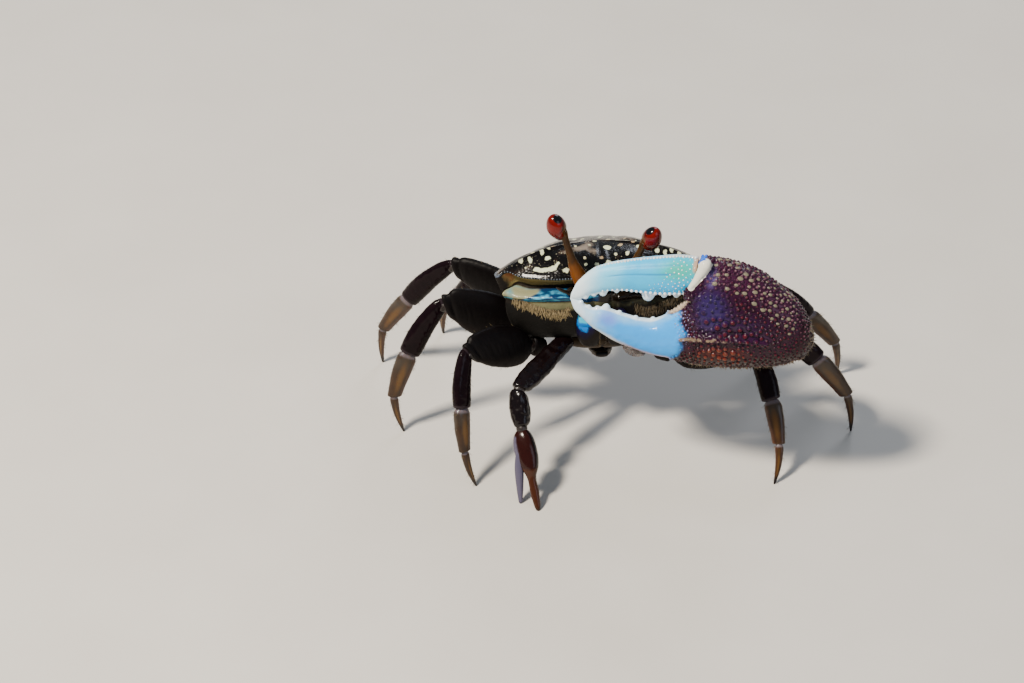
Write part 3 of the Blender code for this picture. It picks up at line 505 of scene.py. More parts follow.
def hairs(name, roots, ways, lengths, width, material, pale=1.0):
    """Tapered bristles of three sides as one mesh, each with its own small patch of the baking map.

    Their tips turn as pale as the material lets them, times pale.
    """
    steps = np.array((0.0, 0.4, 0.75, 1.0))
    girth = np.array((1.0, 0.85, 0.5, 0.06))
    points, faces, along = [], [], []
    for k, (root, way, length) in enumerate(zip(roots, ways, lengths)):
        way = way / np.linalg.norm(way)
        side = np.cross(way, (0.3, 0.2, 1.0))
        side /= np.linalg.norm(side)
        over = np.cross(way, side)
        start = len(points)
        for step, thick in zip(steps, girth):
            middle = root + way * length * step
            for angle in THIRD_TURNS:
                points.append(middle + width * thick * (side * math.cos(angle) + over * math.sin(angle)))
                along.append(step * pale)
        for ring in range(len(steps) - 1):
            for j in range(3):
                a, b = start + 3 * ring + j, start + 3 * ring + (j + 1) % 3
                faces.append((a, b, b + 3, a + 3))
        faces.append((start + 2, start + 1, start))
        last = start + 3 * (len(steps) - 1)
        faces.append((last, last + 1, last + 2))
    obj = piece(name, np.array(points), faces, material)
    mark(obj, along=along)
    layer = obj.data.uv_layers.new(name="OFBake")
    index = np.empty(len(obj.data.loops), int)
    obj.data.loops.foreach_get("vertex_index", index)
    tuft = index // (3 * len(steps))
    root = np.array(roots)[tuft]
    centre = root.mean(axis=0)
    u = 0.5 + np.arctan2(root[:, 0] - centre[0], centre[1] - root[:, 1] + 30.0) * 1.2
    v = 0.5 + (root[:, 2] - centre[2]) / 40.0
    corner = np.array(((0.0, 0.0), (0.003, 0.0), (0.0, 0.003)))[index % 3]
    uv = np.clip(np.stack((u, v), -1), 0.01, 0.98) + corner
    layer.data.foreach_set("uv", uv.ravel())
    return obj


# Bristles: dry chitin hairs, dark at the root and straw at the tip, thicker than the real 0.03 mm to show
bristle, shader = surface("golden bristle chitin")
colour = blend(bristle, mark_in(bristle, "along"), "261a0c", "a8946a")
connect(bristle, shader, {"Base Color": colour, "Roughness": 0.45})

flat_front = (drop > 2.5) & (front_share > 0.6)
wall_points = body_points[flat_front]
for side, sign in SIDES:
    roots, ways = [], []
    for x in np.arange(4.0, 10.6, FRINGE_SPACING):
        for level in range(FRINGE_ROWS):
            px = sign * (x + draw.uniform(-0.06, 0.06))
            top = through([(4.0, -3.3), (5.0, -3.7), (6.5, -3.5), (8.5, -2.95), (10.6, -2.4)], x)
            pz = top - 0.13 * level + draw.uniform(-0.05, 0.05)
            spot = wall_points[np.argmin((wall_points[:, 0] - px) ** 2 + (wall_points[:, 2] - pz) ** 2)]
            roots.append(spot + (0, 0.1, 0))
            ways.append((draw.uniform(-0.55, 0.55) - sign * 0.15, -0.75 + draw.uniform(-0.4, 0.3), -0.9))
    lengths = draw.uniform(0.3, 0.95, len(roots))
    placed = on_body(roots)
    ends = on_body(np.array(roots) + np.array(ways))
    # The left fringe's tips are kept dark as painted shade from the great claw.
    hairs("mouth_fringe_" + side, placed, ends - placed, lengths, 0.045, bristle,
          1.0 if sign < 0 else 0.25)


# BREAST AND TAIL
# The flat breast is a row of fused plates between the legs, and the narrow tail of a male is folded up
# against it. Both are thin satin cuticle, olive-brown, with a furrow at each segment.
TAIL_PATH = [
    (8.9, -2.8), (8.7, -4.8), (8.1, -7.0), (7.3, -9.0), (5.8, -10.6), (3.2, -11.2),
    (0.5, -11.35), (-2.0, -11.3), (-3.4, -11.1),
]
TAIL_WIDTHS = [2.9, 2.8, 2.6, 2.5, 2.3, 2.0, 1.6, 1.2, 0.7]
TAIL_SEGMENTS = 7


def oval(angles, squareness):
    """Cosines and sines of a superellipse."""
    c, s = np.cos(angles), np.sin(angles)
    return np.sign(c) * np.abs(c) ** squareness, np.sign(s) * np.abs(s) ** squareness


def turns(count):
    """Even angles round one full turn."""
    return np.arange(count) / count * 2 * np.pi


def globe(gap, steps, sides):
    """Rings of a ball 1 in radius from its top to its foot, both left open by a gap in radians."""
    polar, around = np.meshgrid(np.linspace(gap, np.pi - gap, steps), turns(sides), indexing="ij")
    return np.stack((np.sin(polar) * np.cos(around), np.sin(polar) * np.sin(around), np.cos(polar)), -1)


def cuticle(name, dark, light, grain_size, roughness, coat, layers=(), depth=0.1, bump=0.3, specular=0.5,
            glow=0.0, glow_reach=(1.0, 1.0, 1.0)):
    """A shell material: two mottled colours, with the marked ones laid over them with ragged edges.

    The grain's size, the relief's depth and the reach of light under the surface are in millimetres.
    """
    material, shader = surface(name)
    coords = add(material, "TexCoord", {}, {}).outputs["Object"]
    grain = grain_in(material, coords, 1000.0 / grain_size, 5.0)
    colour = blend(material, grain, dark, light)
    ragged = add(material, "Math", {"operation": "MULTIPLY_ADD"}, {0: grain, 1: 0.5, 2: -0.25}).outputs[0]
    relief = add(material, "Bump", {}, {"Strength": bump, "Distance": depth * MM, "Height": grain}).outputs[0]
    connect(material, shader, {
        "Base Color": lay(material, colour, layers, ragged), "Normal": relief, "Roughness": roughness,
        "Coat Weight": coat, "Coat Roughness": 0.06, "Specular IOR Level": specular,
        "Subsurface Weight": glow, "Subsurface Radius": [reach * MM for reach in glow_reach],
    })
    return material


# Belly cuticle: thin, with no wax, so satin and olive-brown, darkened by painted shade under the body; its
# upper part is as dark as the back
belly_cuticle = cuticle("satin belly cuticle", "1a130d", "4c3e2c", 1.4, 0.4, 0.0, [
    ("upper", 0.2, 0.8, "120b07"), ("furrow", 0.2, 0.9, "040202"),
], specular=0.18)

c, s = oval(turns(120), 0.8)
levels = np.linspace(-8.6, -10.45, 36)
shares = through([(-10.45, 0.66), (-9.9, 0.93), (-9.1, 1.0), (-8.55, 0.97)], levels)
flat_shares = np.linspace(0.6, 0.05, 22)
levels = np.concatenate((levels, -10.46 - 0.12 * (0.66 - flat_shares)))
rings = [np.stack((c * 5.4 * share, 0.4 + s * 5.0 * share, np.full(120, level)), -1)
         for share, level in zip(np.concatenate((shares, flat_shares)), levels)]
points, faces = skin(np.array(rings))
furrow = sum(near(points[:, 1], y, 0.13) for y in (-2.8, -1.1, 0.7, 2.5)) + near(points[:, 0], 0.0, 0.1)
furrow = furrow * (points[:, 2] < -9.4)
points[:, 2] += 0.14 * furrow + 0.03 * bumpy(points, 0.8, 2)
breast = piece("breast_plates", on_body(points), faces, belly_cuticle, ["sternum"])
mark(breast, furrow=np.clip(furrow, 0, 1) * 0.8)

steps = 8 * TAIL_SEGMENTS + 1
t = np.linspace(0, len(TAIL_PATH) - 1, steps)
tail_y, tail_z = (through([(k, row[i]) for k, row in enumerate(TAIL_PATH)], t) for i in (0, 1))
wide = through(list(enumerate(TAIL_WIDTHS)), t)
segment_place = np.linspace(0, TAIL_SEGMENTS, steps) % 1.0
notch = np.maximum(near(segment_place, 0.0, 0.08), near(segment_place, 1.0, 0.08))
way = unit(np.stack((np.gradient(tail_y), np.gradient(tail_z)), -1))
c, s = oval(turns(48), 0.7)
rings = []
for k in range(steps):
    thick = 0.4 * (1 - 0.35 * notch[k]) * (1.0 if 0 < k < steps - 1 else 0.5)
    rings.append(np.stack((
        c * wide[k] * (1 - 0.05 * notch[k]),
        tail_y[k] - way[k, 1] * s * thick,
        tail_z[k] + way[k, 0] * s * thick,
    ), -1))
points, faces = skin(np.array(rings))
points += 0.02 * bumpy(points, 0.7, 2)[:, None]
tail = piece("tail_plates", on_body(points), faces, belly_cuticle, ["pleon"])
mark(tail, furrow=spread(np.tile(notch[:, None] * 1.1, (1, 48))), upper=eased(points[:, 1], 4.5, 7.0))


# MOUTH PLATES
# Two hinged plates that close the mouth like doors, dark olive cuticle with a patch of bright blue on the
# outer half, each with a furrow down it and a comb of bristles along its inner edge.
MOUTH_PLATE = ((1.75, -7.9, -3.6), (1.6, -6.1, -8.8))


def limb(start, end, flat, profile, first, last, sides=40, steps=34, tight=0.85, lip=0.3, neck=0.6, bow=0.0):
    """Rings of a limb's piece with rounded ends, their shares of its length and the angles round it.

    Each profile row holds a share of the length and the half sizes above, below and across. The planes,
    each a point and a normal, bound the two ends. Within a lip of them the girth falls to its neck share,
    tight squares the section, and bow is how far the middle rises.
    """
    axis = unit(end - start)
    across = unit(flat - axis * (flat @ axis))
    above = np.cross(across, axis)
    share = 0.5 - 0.5 * np.cos(np.linspace(0, np.pi, steps))
    angles = turns(sides)
    c, s = oval(angles, tight)
    up, down, wide = (size[:, None] for size in rows_at(profile, share))
    length = np.linalg.norm(end - start)
    thick = np.ones(steps)
    for distance in (share * length, (1 - share) * length):
        thick *= neck + (1 - neck) * np.sqrt(1 - (1 - np.clip(distance / lip, 0, 1)) ** 2)
    thick = thick[:, None]
    tall = np.where(s > 0, up, down)
    offset = (c * wide * thick)[..., None] * across + (s * tall * thick)[..., None] * above
    ends = [((point - start - offset) @ normal) / (axis @ normal) for point, normal in (first, last)]
    along = ends[0] + share[:, None] * (ends[1] - ends[0])
    rings = start + offset + along[..., None] * axis + bow * np.sin(np.pi * share)[:, None, None] * above
    return rings, np.tile(share[:, None], (1, sides)), np.tile(angles, (steps, 1))


def square_plane(point, toward):
    """A plane through a point, square to the way towards another."""
    return point, unit(toward - point)


# Mouth cuticle: dull near-black, its own dark olive deepened by painted shade under the body, with a patch of
# pigment that goes from violet through blue to bright cyan
mouth_cuticle = cuticle("olive mouth cuticle", "040302", "150e09", 0.9, 0.45, 0.0, [
    ("violet", 0.2, 0.7, "0d0830"), ("blue", 0.3, 0.6, "0474cc"), ("bright", 0.1, 0.6, "30ccf0"),
], specular=0.14)

plate_rows = (
    (0.0, 0.35, 0.35, 0.75), (0.15, 0.5, 0.4, 1.25), (0.45, 0.6, 0.5, 1.5), (0.8, 0.5, 0.5, 1.35),
    (1.0, 0.35, 0.35, 0.8),
)
for side, sign in SIDES:
    start, end = (on_body((sign * x, y, z)) for x, y, z in MOUTH_PLATE)
    rings, share, angles = limb(start, end, np.array((1.0, 0, 0)), plate_rows, square_plane(start, end),
                                square_plane(end, 2 * end - start), 56, 60, 0.8)
    points, faces = skin(rings)
    place = spread(share)
    sideways = (points - start) @ np.array((sign * 1.0, 0, 0))
    front = np.array((0.0, -1.0, 0.2))
    dent = near(place, 0.42, 0.03) + 0.7 * near(sideways + 0.35, 0.0, 0.12) * eased(place, 0.1, 0.2)
    points -= (0.09 * dent)[:, None] * front
    points += 0.015 * bumpy(points, 0.5, 2)[:, None] * front
    plate = piece("mouth_plate_" + side, points, faces, mouth_cuticle,
                  ["maxilliped_" + side])
    spot = np.hypot((sideways - 0.55) / 1.25, (place - 0.34) / 0.3)
    bright = np.hypot((sideways - 0.55) / 0.85, (place - 0.22) / 0.15)
    mark(
        plate,
        violet=1.15 - spot * 0.62,
        blue=1.1 - 1.05 * spot + 0.3 * bumpy(points, 0.5, 3, 3.0),
        bright=0.95 - bright + 0.3 * bumpy(points, 0.4, 3, 5.0),
    )
    inner = np.linspace(0.08, 0.95, 60)
    roots = [start + (end - start) * t + np.array((-sign * 1.05, -0.15, 0)) for t in inner]
    ways = [np.array((-sign * draw.uniform(0.5, 1.0), -0.7, draw.uniform(-0.6, 0.1))) for t in inner]
    lengths = draw.uniform(0.35, 0.6, len(inner))
    hairs("mouth_comb_" + side, roots, ways, lengths, 0.028, bristle, 0.3)


# EYES
# Each eye is a tall bulb of clear cuticle over red pigment, wet and glassy, wrapped round the tip of its
# orange-brown stalk. The stalk is a thin jointed rod that swells where it leaves the orbit.
EYE_HALF = (1.18, 1.14, 1.86)
STRAP_SIDE = 0.45
STALK_RADIUS = 0.42
STALK_GIRTH = [
    (0.0, 1.5), (0.12, 2.0), (0.22, 2.0), (0.34, 1.5), (0.45, 1.15), (0.6, 1.0), (0.75, 1.0), (0.82, 1.15),
    (0.88, 1.3), (0.94, 1.05), (1.0, 0.4),
]
EYE_PLACES = {"right": np.array((-4.95, -8.5, 30.7)), "left": np.array((6.1, -8.5, 29.85))}
STALK_ROOT = (2.35, -6.7, -2.0)
STALK_BEND = (2.6, -7.95, 0.3)
CAP_ANGLE = 0.56


def tube(path, radii, sides=28):
    """Rings of a round limb along a path."""
    path = np.array(path)
    ways = unit(np.gradient(path, axis=0))
    side = unit(np.cross(ways, (0.2, 1.0, 0.1)))
    over = np.cross(ways, side)
    angles = turns(sides)[:, None]
    radii = np.asarray(radii)[:, None, None]
    return path[:, None] + radii * (np.cos(angles) * side[:, None] + np.sin(angles) * over[:, None])


def arc(corners, steps):
    """Points along a curve from the first of three corners to the last, bent towards the middle one."""
    a, b, c = corners
    t = np.linspace(0, 1, steps)[:, None]
    return a * (1 - t) ** 2 + b * 2 * t * (1 - t) + c * t**2


# Cornea: clear wet cuticle over clouded red pigment, so deep colour under one sharp glint. Its facets, really
# 0.03 mm wide, are drawn 0.06 mm wide to show
cornea, shader = surface("red eye under clear cuticle")
coords = add(cornea, "TexCoord", {}, {}).outputs["Object"]
cloud = grain_in(cornea, coords, 900.0, 2.0)
facets = add(cornea, "TexVoronoi", {}, {"Vector": coords, "Scale": 16000.0}).outputs["Distance"]
colour = lay(cornea, blend(cornea, cloud, "3a0200", "840c00"), [
    ("shade", 0.2, 0.9, "2e0301"), ("wedge", 0.4, 0.6, "4e2c10"), ("cap", 0.3, 0.5, "04060a"),
])
relief = add(cornea, "Bump", {}, {"Strength": 0.04, "Distance": 0.03 * MM, "Height": facets}).outputs[0]
connect(cornea, shader, {
    "Base Color": colour, "Normal": relief, "Roughness": 0.25, "Specular IOR Level": 0.1, "Coat Weight": 0.5,
    "Coat Roughness": 0.03,
})

# Stalk cuticle: smooth and slightly see-through, so a warm orange-brown, brightest at the root
stalk_cuticle = cuticle("orange stalk cuticle", "261503", "543208", 0.8, 0.35, 0.04,
                        [("root", 0.1, 0.9, "74400c")], 0.08, 0.2, 0.2)

for side, sign in SIDES:
    eye_centre = EYE_PLACES[side]
    root, bend = (on_body((sign * x, y, z)) for x, y, z in (STALK_ROOT, STALK_BEND))
    lower = arc((root + 0.6 * (bend - root), bend, bend + 0.3 * (eye_centre - bend)), 16)
    lean = np.array((-sign * STRAP_SIDE, 0.1, 0.3))
    upper = lower[-1] + (eye_centre + lean - lower[-1]) * np.linspace(0, 1, 32)[1:, None]
    path = np.concatenate((lower, upper))
    run = np.linspace(0, 1, len(path))
    radii = STALK_RADIUS * through(STALK_GIRTH, run)
    points, faces = skin(tube(path, radii))
    points += 0.02 * bumpy(points, 0.6, 2, sign)[:, None]
    stalk = piece("eye_stalk_" + side, points, faces, stalk_cuticle, ["eyestalk_" + side])
    mark(stalk, root=spread(np.tile((1 - eased(run, 0.2, 0.5))[:, None], (1, 28))))

    up = unit(path[-1] - path[-4])
    nose_way = np.array((-sign, 0.25, 0.0))
    inward_way = unit(nose_way - up * (nose_way @ up))
    third = np.cross(up, inward_way)
    ball = globe(0.05, 56, 72)
    narrow = 1 - 0.3 * eased(-ball[..., 2:], -0.1, 1.0)
    a, b, h = (ball[..., i : i + 1] * EYE_HALF[i] for i in range(3))
    rings = eye_centre + a * narrow * inward_way + b * narrow * third + h * up
    points, faces = skin(rings)
    eyeball = piece("eye_bulb_" + side, points, faces, cornea, ["eye_" + side])
    local = points - eye_centre
    height, inner = local @ up, local @ inward_way
    forward = local @ unit(np.array((0.0, -0.8, 0.6)))
    cap_way = unit(np.array((0.12 * -sign, -0.34, 1.0)))
    from_cap = np.arccos(np.clip(unit(local) @ cap_way, -1, 1))
    mark(
        eyeball,
        wedge=eased(inner, 0.3, 0.7) * (1 - eased(height, 0.1, 0.9)) + eased(-height, 1.2, 1.5),
        cap=1 - from_cap / CAP_ANGLE,
        # This darkens each eye's inner side and rear as painted shade.
        shade=0.6 * eased(inner, 0.0, 1.0) + 0.4 * eased(-forward, 0.2, 1.0),
    )


# FEELERS
# A short whip at the inner corner of each orbit, of brown cuticle: two stout joints and a thin ringed lash
# that bends at each ring. It grows from the shell under the stalk.
FEELER = ((3.5, -5.2, -1.9), (3.9, -8.4, -1.5), (5.6, -10.4, 0.4))
FEELER_GIRTH = [(0.0, 0.42), (0.3, 0.42), (0.42, 0.34), (0.5, 0.24), (0.7, 0.2), (0.9, 0.15), (1.0, 0.06)]

# Feeler cuticle: dry and thin, so dull dark brown
feeler_cuticle = cuticle("dark brown feeler cuticle", "0e0a06", "2c2010", 0.6, 0.4, 0.0)
for side, sign in SIDES:
    corners = [on_body((sign * x, y, z)) for x, y, z in FEELER]
    path = arc(corners, 70)
    run = np.linspace(0, 1, 70)
    joints = 0.3 * near(run, 0.25, 0.02) + 0.3 * near(run, 0.45, 0.02)
    ringed = 1 + 0.12 * np.sin(run * 150) * (run > 0.48) - joints
    points, faces = skin(tube(path, through(FEELER_GIRTH, run) * ringed, 20))
    piece("feeler_" + side, points, faces, feeler_cuticle, ["antenna_" + side])


# WALKING LEGS
# Eight legs of five hollow pieces each: root, broad flat thigh, wrist, shank and pointed toe, hinged on soft
# membrane. Thighs are dull black with fine wrinkles, wrists glossy, shanks and toes thin amber horn.
LEGS = {
    2: dict(hip=(6.6, -3.6, -9.6), lengths=(2.0, 9.6, 6.6, 5.3, 4.6), bends=(12, 16), deep=1.15, thigh=1.3),
    3: dict(hip=(6.9, -1.2, -9.4), lengths=(2.3, 11.0, 7.6, 6.1, 5.1), bends=(16, 30), deep=1.3, thigh=1.55),
    4: dict(hip=(6.5, 2.1, -7.9), lengths=(2.3, 10.8, 8.7, 6.4, 5.2), bends=(10, 30), deep=1.2, thigh=1.25),
    5: dict(hip=(5.6, 4.2, -7.7), lengths=(2.2, 8.6, 5.8, 4.9, 4.3), bends=(12, 26), deep=0.85, thigh=0.85),
}
FEET = {
    ("right", 2): (-13.4, -18.6, 24), ("right", 3): (-23.3, -8.6, 5),
    ("right", 4): (-27.7, 5.5, -4), ("right", 5): (-21.0, 12.5, -8),
    ("left", 2): (21.8, -14.5, 40), ("left", 3): (30.4, -2.9, 4),
    ("left", 4): (28.2, 8.9, -8), ("left", 5): (20.5, 14.0, -8),
}
JOINT_GAP = 0.3
JOINT_TUCK = 0.36
LEG_KNOB_SPACING = 0.42
LEG_WRINKLE = {"base": 0.03, "merus": 0.045, "carpus": 0.03, "propodus": 0.016, "dactyl": 0.01}
LEG_HAIRS = {"base": 0, "merus": 16, "carpus": 12, "propodus": 26, "dactyl": 24}
FLOOR_PLANE = (np.zeros(3), np.array((0, 0, -1.0)))


def leg_joints(hip, foot, lean, lengths, bends):
    """Places of the hip, of the ends of the leg's five pieces, and the way across its flat side."""
    reach = foot - hip
    distance = np.linalg.norm(reach)
    along = reach / distance
    up = unit(np.array((0, 0, 1.0)) - along * along[2])
    up = up * math.cos(lean) + np.cross(along, up) * math.sin(lean)
    inner = lengths[0] + lengths[1]
    chain, heading = [np.zeros(2)], 0.0
    for length, bend in zip(lengths[2:], (0.0, *bends)):
        heading -= math.radians(bend)
        chain.append(chain[-1] + length * np.array((math.cos(heading), math.sin(heading))))
    span = np.linalg.norm(chain[-1])
    lift = math.acos((inner**2 + distance**2 - span**2) / (2 * inner * distance))
    knee = inner * np.array((math.cos(lift), math.sin(lift)))
    down = np.array((distance, 0.0)) - knee
    turn = math.atan2(down[1], down[0]) - math.atan2(chain[-1][1], chain[-1][0])
    flat = [np.zeros(2), knee * lengths[0] / inner] + [knee + turned(p, turn, 0, 1) for p in chain]
    return [hip + along * p[0] + up * p[1] for p in flat], np.cross(along, up)


def mitre(before, joint, after):
    """The cut planes at a joint: the end of the piece before it and the start of the one after."""
    normal = unit(unit(joint - before) + unit(after - joint))
    half = normal * JOINT_GAP / 2
    return (joint - half, normal), (joint + half, normal)


def jointed(places, k, tip=None):
    """The ends of a limb's piece number k and the planes that cut them; tip is the plane of a free end."""
    start, end = places[k], places[k + 1]
    first = mitre(places[k - 1], start, end)[1] if k else square_plane(start, end)
    return start, end, first, tip or mitre(start, end, places[k + 2])[0]


def outward(rings):
    """Ways out of a limb's rings."""
    return unit(rings - rings.mean(axis=1, keepdims=True))


def off_ends(share, rate):
    """0 at the two ends of a piece, and 1 from a share of 1 / rate off them."""
    return np.minimum(1, np.minimum(share, 1 - share) * rate)


def joint_path(before, joint, after, far, close):
    """Five points from inside the piece before a joint to inside the one after it."""
    inward, onward = unit(joint - before), unit(after - joint)
    shifts = (-inward * far, -inward * close, inward * 0, onward * close, onward * far)
    return np.array([joint + shift for shift in shifts])


def sleeve(name, path, radii, sides, pale):
    """A membrane round a path."""
    points, faces = skin(tube(path, radii, sides))
    soft = piece(name, points, faces, membrane)
    mark(soft, pale=np.full(len(points), pale))


# Thigh cuticle: thick and finely wrinkled, with no wax, so it drinks the light
thigh_cuticle = cuticle("dull black thigh cuticle", "020101", "0b0607", 0.8, 0.5, 0.0, [
    ("under", 0.5, 1.1, "100705"), ("band", 0.5, 0.9, "180f10"),
], 0.08, 0.35, 0.12)
# Wrist cuticle: smooth and waxed over purple pigment, so small sharp glints on near-black
wrist_cuticle = cuticle("glossy purple-black cuticle", "070406", "1a0d12", 0.9, 0.15, 0.0, [
    ("under", 0.3, 0.9, "120504"), ("band", 0.45, 0.75, "2a2226"),
], 0.08, 0.4, 0.1)
# Amber horn: thin shell that lets some light in, golden between greyish upper ends, pale joint bands and dark
# tips, with a lighter strip along each flank painted on as the glow of light through it
amber_horn = cuticle("amber horn", "160b03", "40260c", 2.2, 0.34, 0.15, [
    ("greyish", 0.3, 1.1, "362c22"), ("pale_strip", 0.2, 1.0, "5c3e16"),
    ("under", 0.4, 1.0, "42220a"), ("band", 0.4, 0.9, "665c60"), ("dark_tip", 0.3, 0.9, "140a05"),
], 0.06, 0.25, 0.35, 0.25, (1.0, 0.5, 0.2))
# Membrane: soft wrinkled skin between the hard pieces, grey-brown and paler towards the toes
membrane = cuticle("soft joint membrane", "120c0a", "2a201c", 0.5, 0.4, 0.1,
                   [("pale", 0.4, 0.8, "5c534e")], 0.1, 0.5)

leg_hairs = {"right": ([], [], []), "left": ([], [], [])}
for (side, number), (foot_x, foot_y, lean) in FEET.items():
    leg, sign = LEGS[number], -1 if side == "right" else 1
    hip = under_body(np.array(leg["hip"]) * (sign, 1, 1))
    joints, flat = leg_joints(hip, np.array((foot_x, foot_y, 0.0)), math.radians(-sign * lean),
                              leg["lengths"], leg["bends"])
    d, t = leg["deep"], leg["thigh"]
    leg_pieces = [
        ("base", thigh_cuticle, 40, 30, 0.5, 0.0,
         ((0.0, 0.8, 0.8, 0.75), (0.6, d, d, 0.8), (1.0, 1.15 * d, 1.15 * d, 0.8))),
        ("merus", thigh_cuticle, 64, 90, 0.5, 0.25,
         ((0.0, 0.8 * d, 0.8 * d, 0.6), (0.12, 1.6 * t, 1.4 * t, 0.8), (0.35, 2.05 * t, 1.85 * t, 0.9),
          (0.65, 1.85 * t, 1.75 * t, 0.88), (0.85, 1.4 * t, 1.35 * t, 0.8), (0.94, 1.1 * d, 1.1 * d, 0.75),
          (1.0, d, d, 0.72))),
        ("carpus", wrist_cuticle, 48, 64, 0.22, 0.35,
         ((0.0, 0.5 * d, 0.5 * d, 0.45), (0.12, 0.8 * d, 0.65 * d, 0.62), (0.4, 1.02 * d, 0.9 * d, 0.75),
          (0.75, 1.12 * d, 1.05 * d, 0.8), (0.92, 1.05 * d, d, 0.78), (1.0, d, 0.95 * d, 0.72))),
        ("propodus", amber_horn, 40, 56, 0.15, 0.1,
         ((0.0, 0.62 * d, 0.62 * d, 0.5), (0.08, 0.85 * d, 0.8 * d, 0.62), (0.35, 0.95 * d, 0.88 * d, 0.64),
          (0.8, 0.76 * d, 0.7 * d, 0.55), (1.0, 0.66 * d, 0.62 * d, 0.5))),
        ("dactyl", amber_horn, 32, 52, 0.12, 0.22,
         ((0.0, 0.36, 0.36, 0.32), (0.08, 0.5, 0.46, 0.4), (0.3, 0.46, 0.44, 0.37), (0.7, 0.31, 0.3, 0.26),
          (1.0, 0.12, 0.12, 0.12))),
    ]
    for k, (part, look, sides, steps, lip, bow, profile) in enumerate(leg_pieces):
        start, end, first, last = jointed(joints, k, FLOOR_PLANE if part == "dactyl" else None)
        length = np.linalg.norm(end - start)
        if k > 1:
            first = (first[0] - JOINT_TUCK * first[1], first[1])
        rings, share, angles = limb(start, end, flat, profile, first, last, sides, steps, 0.85, lip, 0.7, bow)
        way = outward(rings)
        reach = share * length
        girth = np.linalg.norm(rings - rings.mean(axis=1, keepdims=True), axis=2)
        wrapped = np.stack((reach / 0.34, np.cos(angles) * girth / 1.1, np.sin(angles) * girth / 1.1), -1)
        swell = LEG_WRINKLE[part] * bumpy(wrapped, 1.0, 3, number + 0.5 * sign).reshape(reach.shape)
        if part in ("merus", "carpus"):
            crest = near(angles, math.pi / 2, 0.16) + 0.6 * near(angles, 1.5 * math.pi, 0.16)
            knobs = 0.5 + 0.5 * np.cos(reach * 2 * math.pi / LEG_KNOB_SPACING)
            swell += 0.035 * crest * knobs * (0.1 < share) * (share < 0.9)
        if part in ("propodus", "dactyl", "carpus"):
            flutes = near(angles, 0.25, 0.2) + near(angles, math.pi - 0.25, 0.2)
            swell -= 0.05 * flutes * near(share, 0.5, 0.35)
        if part == "merus":
            swell -= 0.12 * near(share, 0.9, 0.03) * (np.sin(angles) > -0.6)
        rings = rings + way * (swell * off_ends(share, 12))[..., None]
        if part == "dactyl":
            rings[..., 2] = np.maximum(rings[..., 2], 0.0)
        points, faces = skin(rings)
        slot = "leg_tip_shell" if part in ("propodus", "dactyl") else "leg_shell"
        name = f"leg_{side}_{number}_{part}"
        obj = piece(name + "_shell", points, faces, look, [name])
        band = near(reach, 0.15, 0.6 if part == "propodus" else 0.3) + near(length - reach, 0.15, 0.3)
        band = band * {"base": 0.4, "merus": 0.5, "carpus": 0.9}.get(part, 0.9 * (share < 0.5))
        mark(obj, under=spread(eased(-np.sin(angles), -0.2, 0.8)), band=spread(band))
        if slot == "leg_tip_shell":
            tip, top = (0.25, 0.9) if part == "propodus" else (1.0, 0.1)
            mark(
                obj,
                dark_tip=spread(eased(share, 0.55, 1.0) * tip),
                greyish=spread((1 - eased(share, 0.2, 0.75)) * top),
                # The lighter strip along the flanks is a painted glow of light through the shell.
                pale_strip=spread(0.95 * near(np.sin(angles), 0.05, 0.4) * near(share, 0.55, 0.42)),
            )
        roots, ways, lengths = leg_hairs[side]
        for place in draw.uniform(0.12, 0.85, LEG_HAIRS[part]):
            ring = int(place * steps)
            column = int((0.25 if draw.random() < 0.4 else 0.75) * sides + draw.uniform(-3, 3)) % sides
            roots.append(rings[ring, column])
            ways.append(way[ring, column] + 0.9 * unit(end - start) + draw.uniform(-0.3, 0.3, 3))
            lengths.append(draw.uniform(0.25, 0.6))
    fine = np.linspace(0, 4, 17)
    ringed = 1 - 0.14 * np.cos(fine * 2.2 * math.pi) ** 2
    for k, radius, pale in ((1, 0.6 * d, 0.1), (2, 0.52 * d, 0.4), (3, 0.44 * d, 1.0), (4, 0.3, 0.7)):
        path = joint_path(*joints[k - 1 : k + 2], 0.5, 0.2)
        path = np.stack([np.interp(fine, range(5), path[:, i]) for i in range(3)], -1)
        sleeve(f"leg_{side}_{number}_membrane_{k}", path, radius * ringed, 24, pale)
for side, (roots, ways, lengths) in leg_hairs.items():
    hairs("leg_bristles_" + side, roots, ways, lengths, 0.022, bristle)


# GREAT ARM
# The three stout pieces that carry the great claw from under the body round behind it, of thick glossy
# cuticle, blackish brown and set with low granules along the upper edges.
GREAT_ARM_PLACES = [
    under_body((3.8, -4.4, -8.3)), np.array((5.4, -9.9, 15.8)), np.array((20.4, -9.7, 18.5)),
]
CLAW_HEEL = np.array((25.54, -14.5, 21.55))
CLAW_ROLL = math.radians(8.0)
CLAW_TILT = math.radians(15.0)

level = np.array((0.0, -1.0, 0.0))
claw_out = level * math.cos(CLAW_TILT) + np.array((0, 0, math.sin(CLAW_TILT)))
claw_rise = np.array((0, 0, math.cos(CLAW_TILT))) - level * math.sin(CLAW_TILT)
claw_along = np.array((-math.cos(CLAW_ROLL), 0, 0)) + claw_rise * math.sin(CLAW_ROLL)
claw_up = claw_rise * math.cos(CLAW_ROLL) + np.array((math.sin(CLAW_ROLL), 0, 0))


def on_claw(points):
    """Claw points in the stance: along the claw from its heel, out of its outer side, and up."""
    return CLAW_HEEL + points[..., :1] * claw_along + points[..., 1:2] * claw_out + points[..., 2:] * claw_up


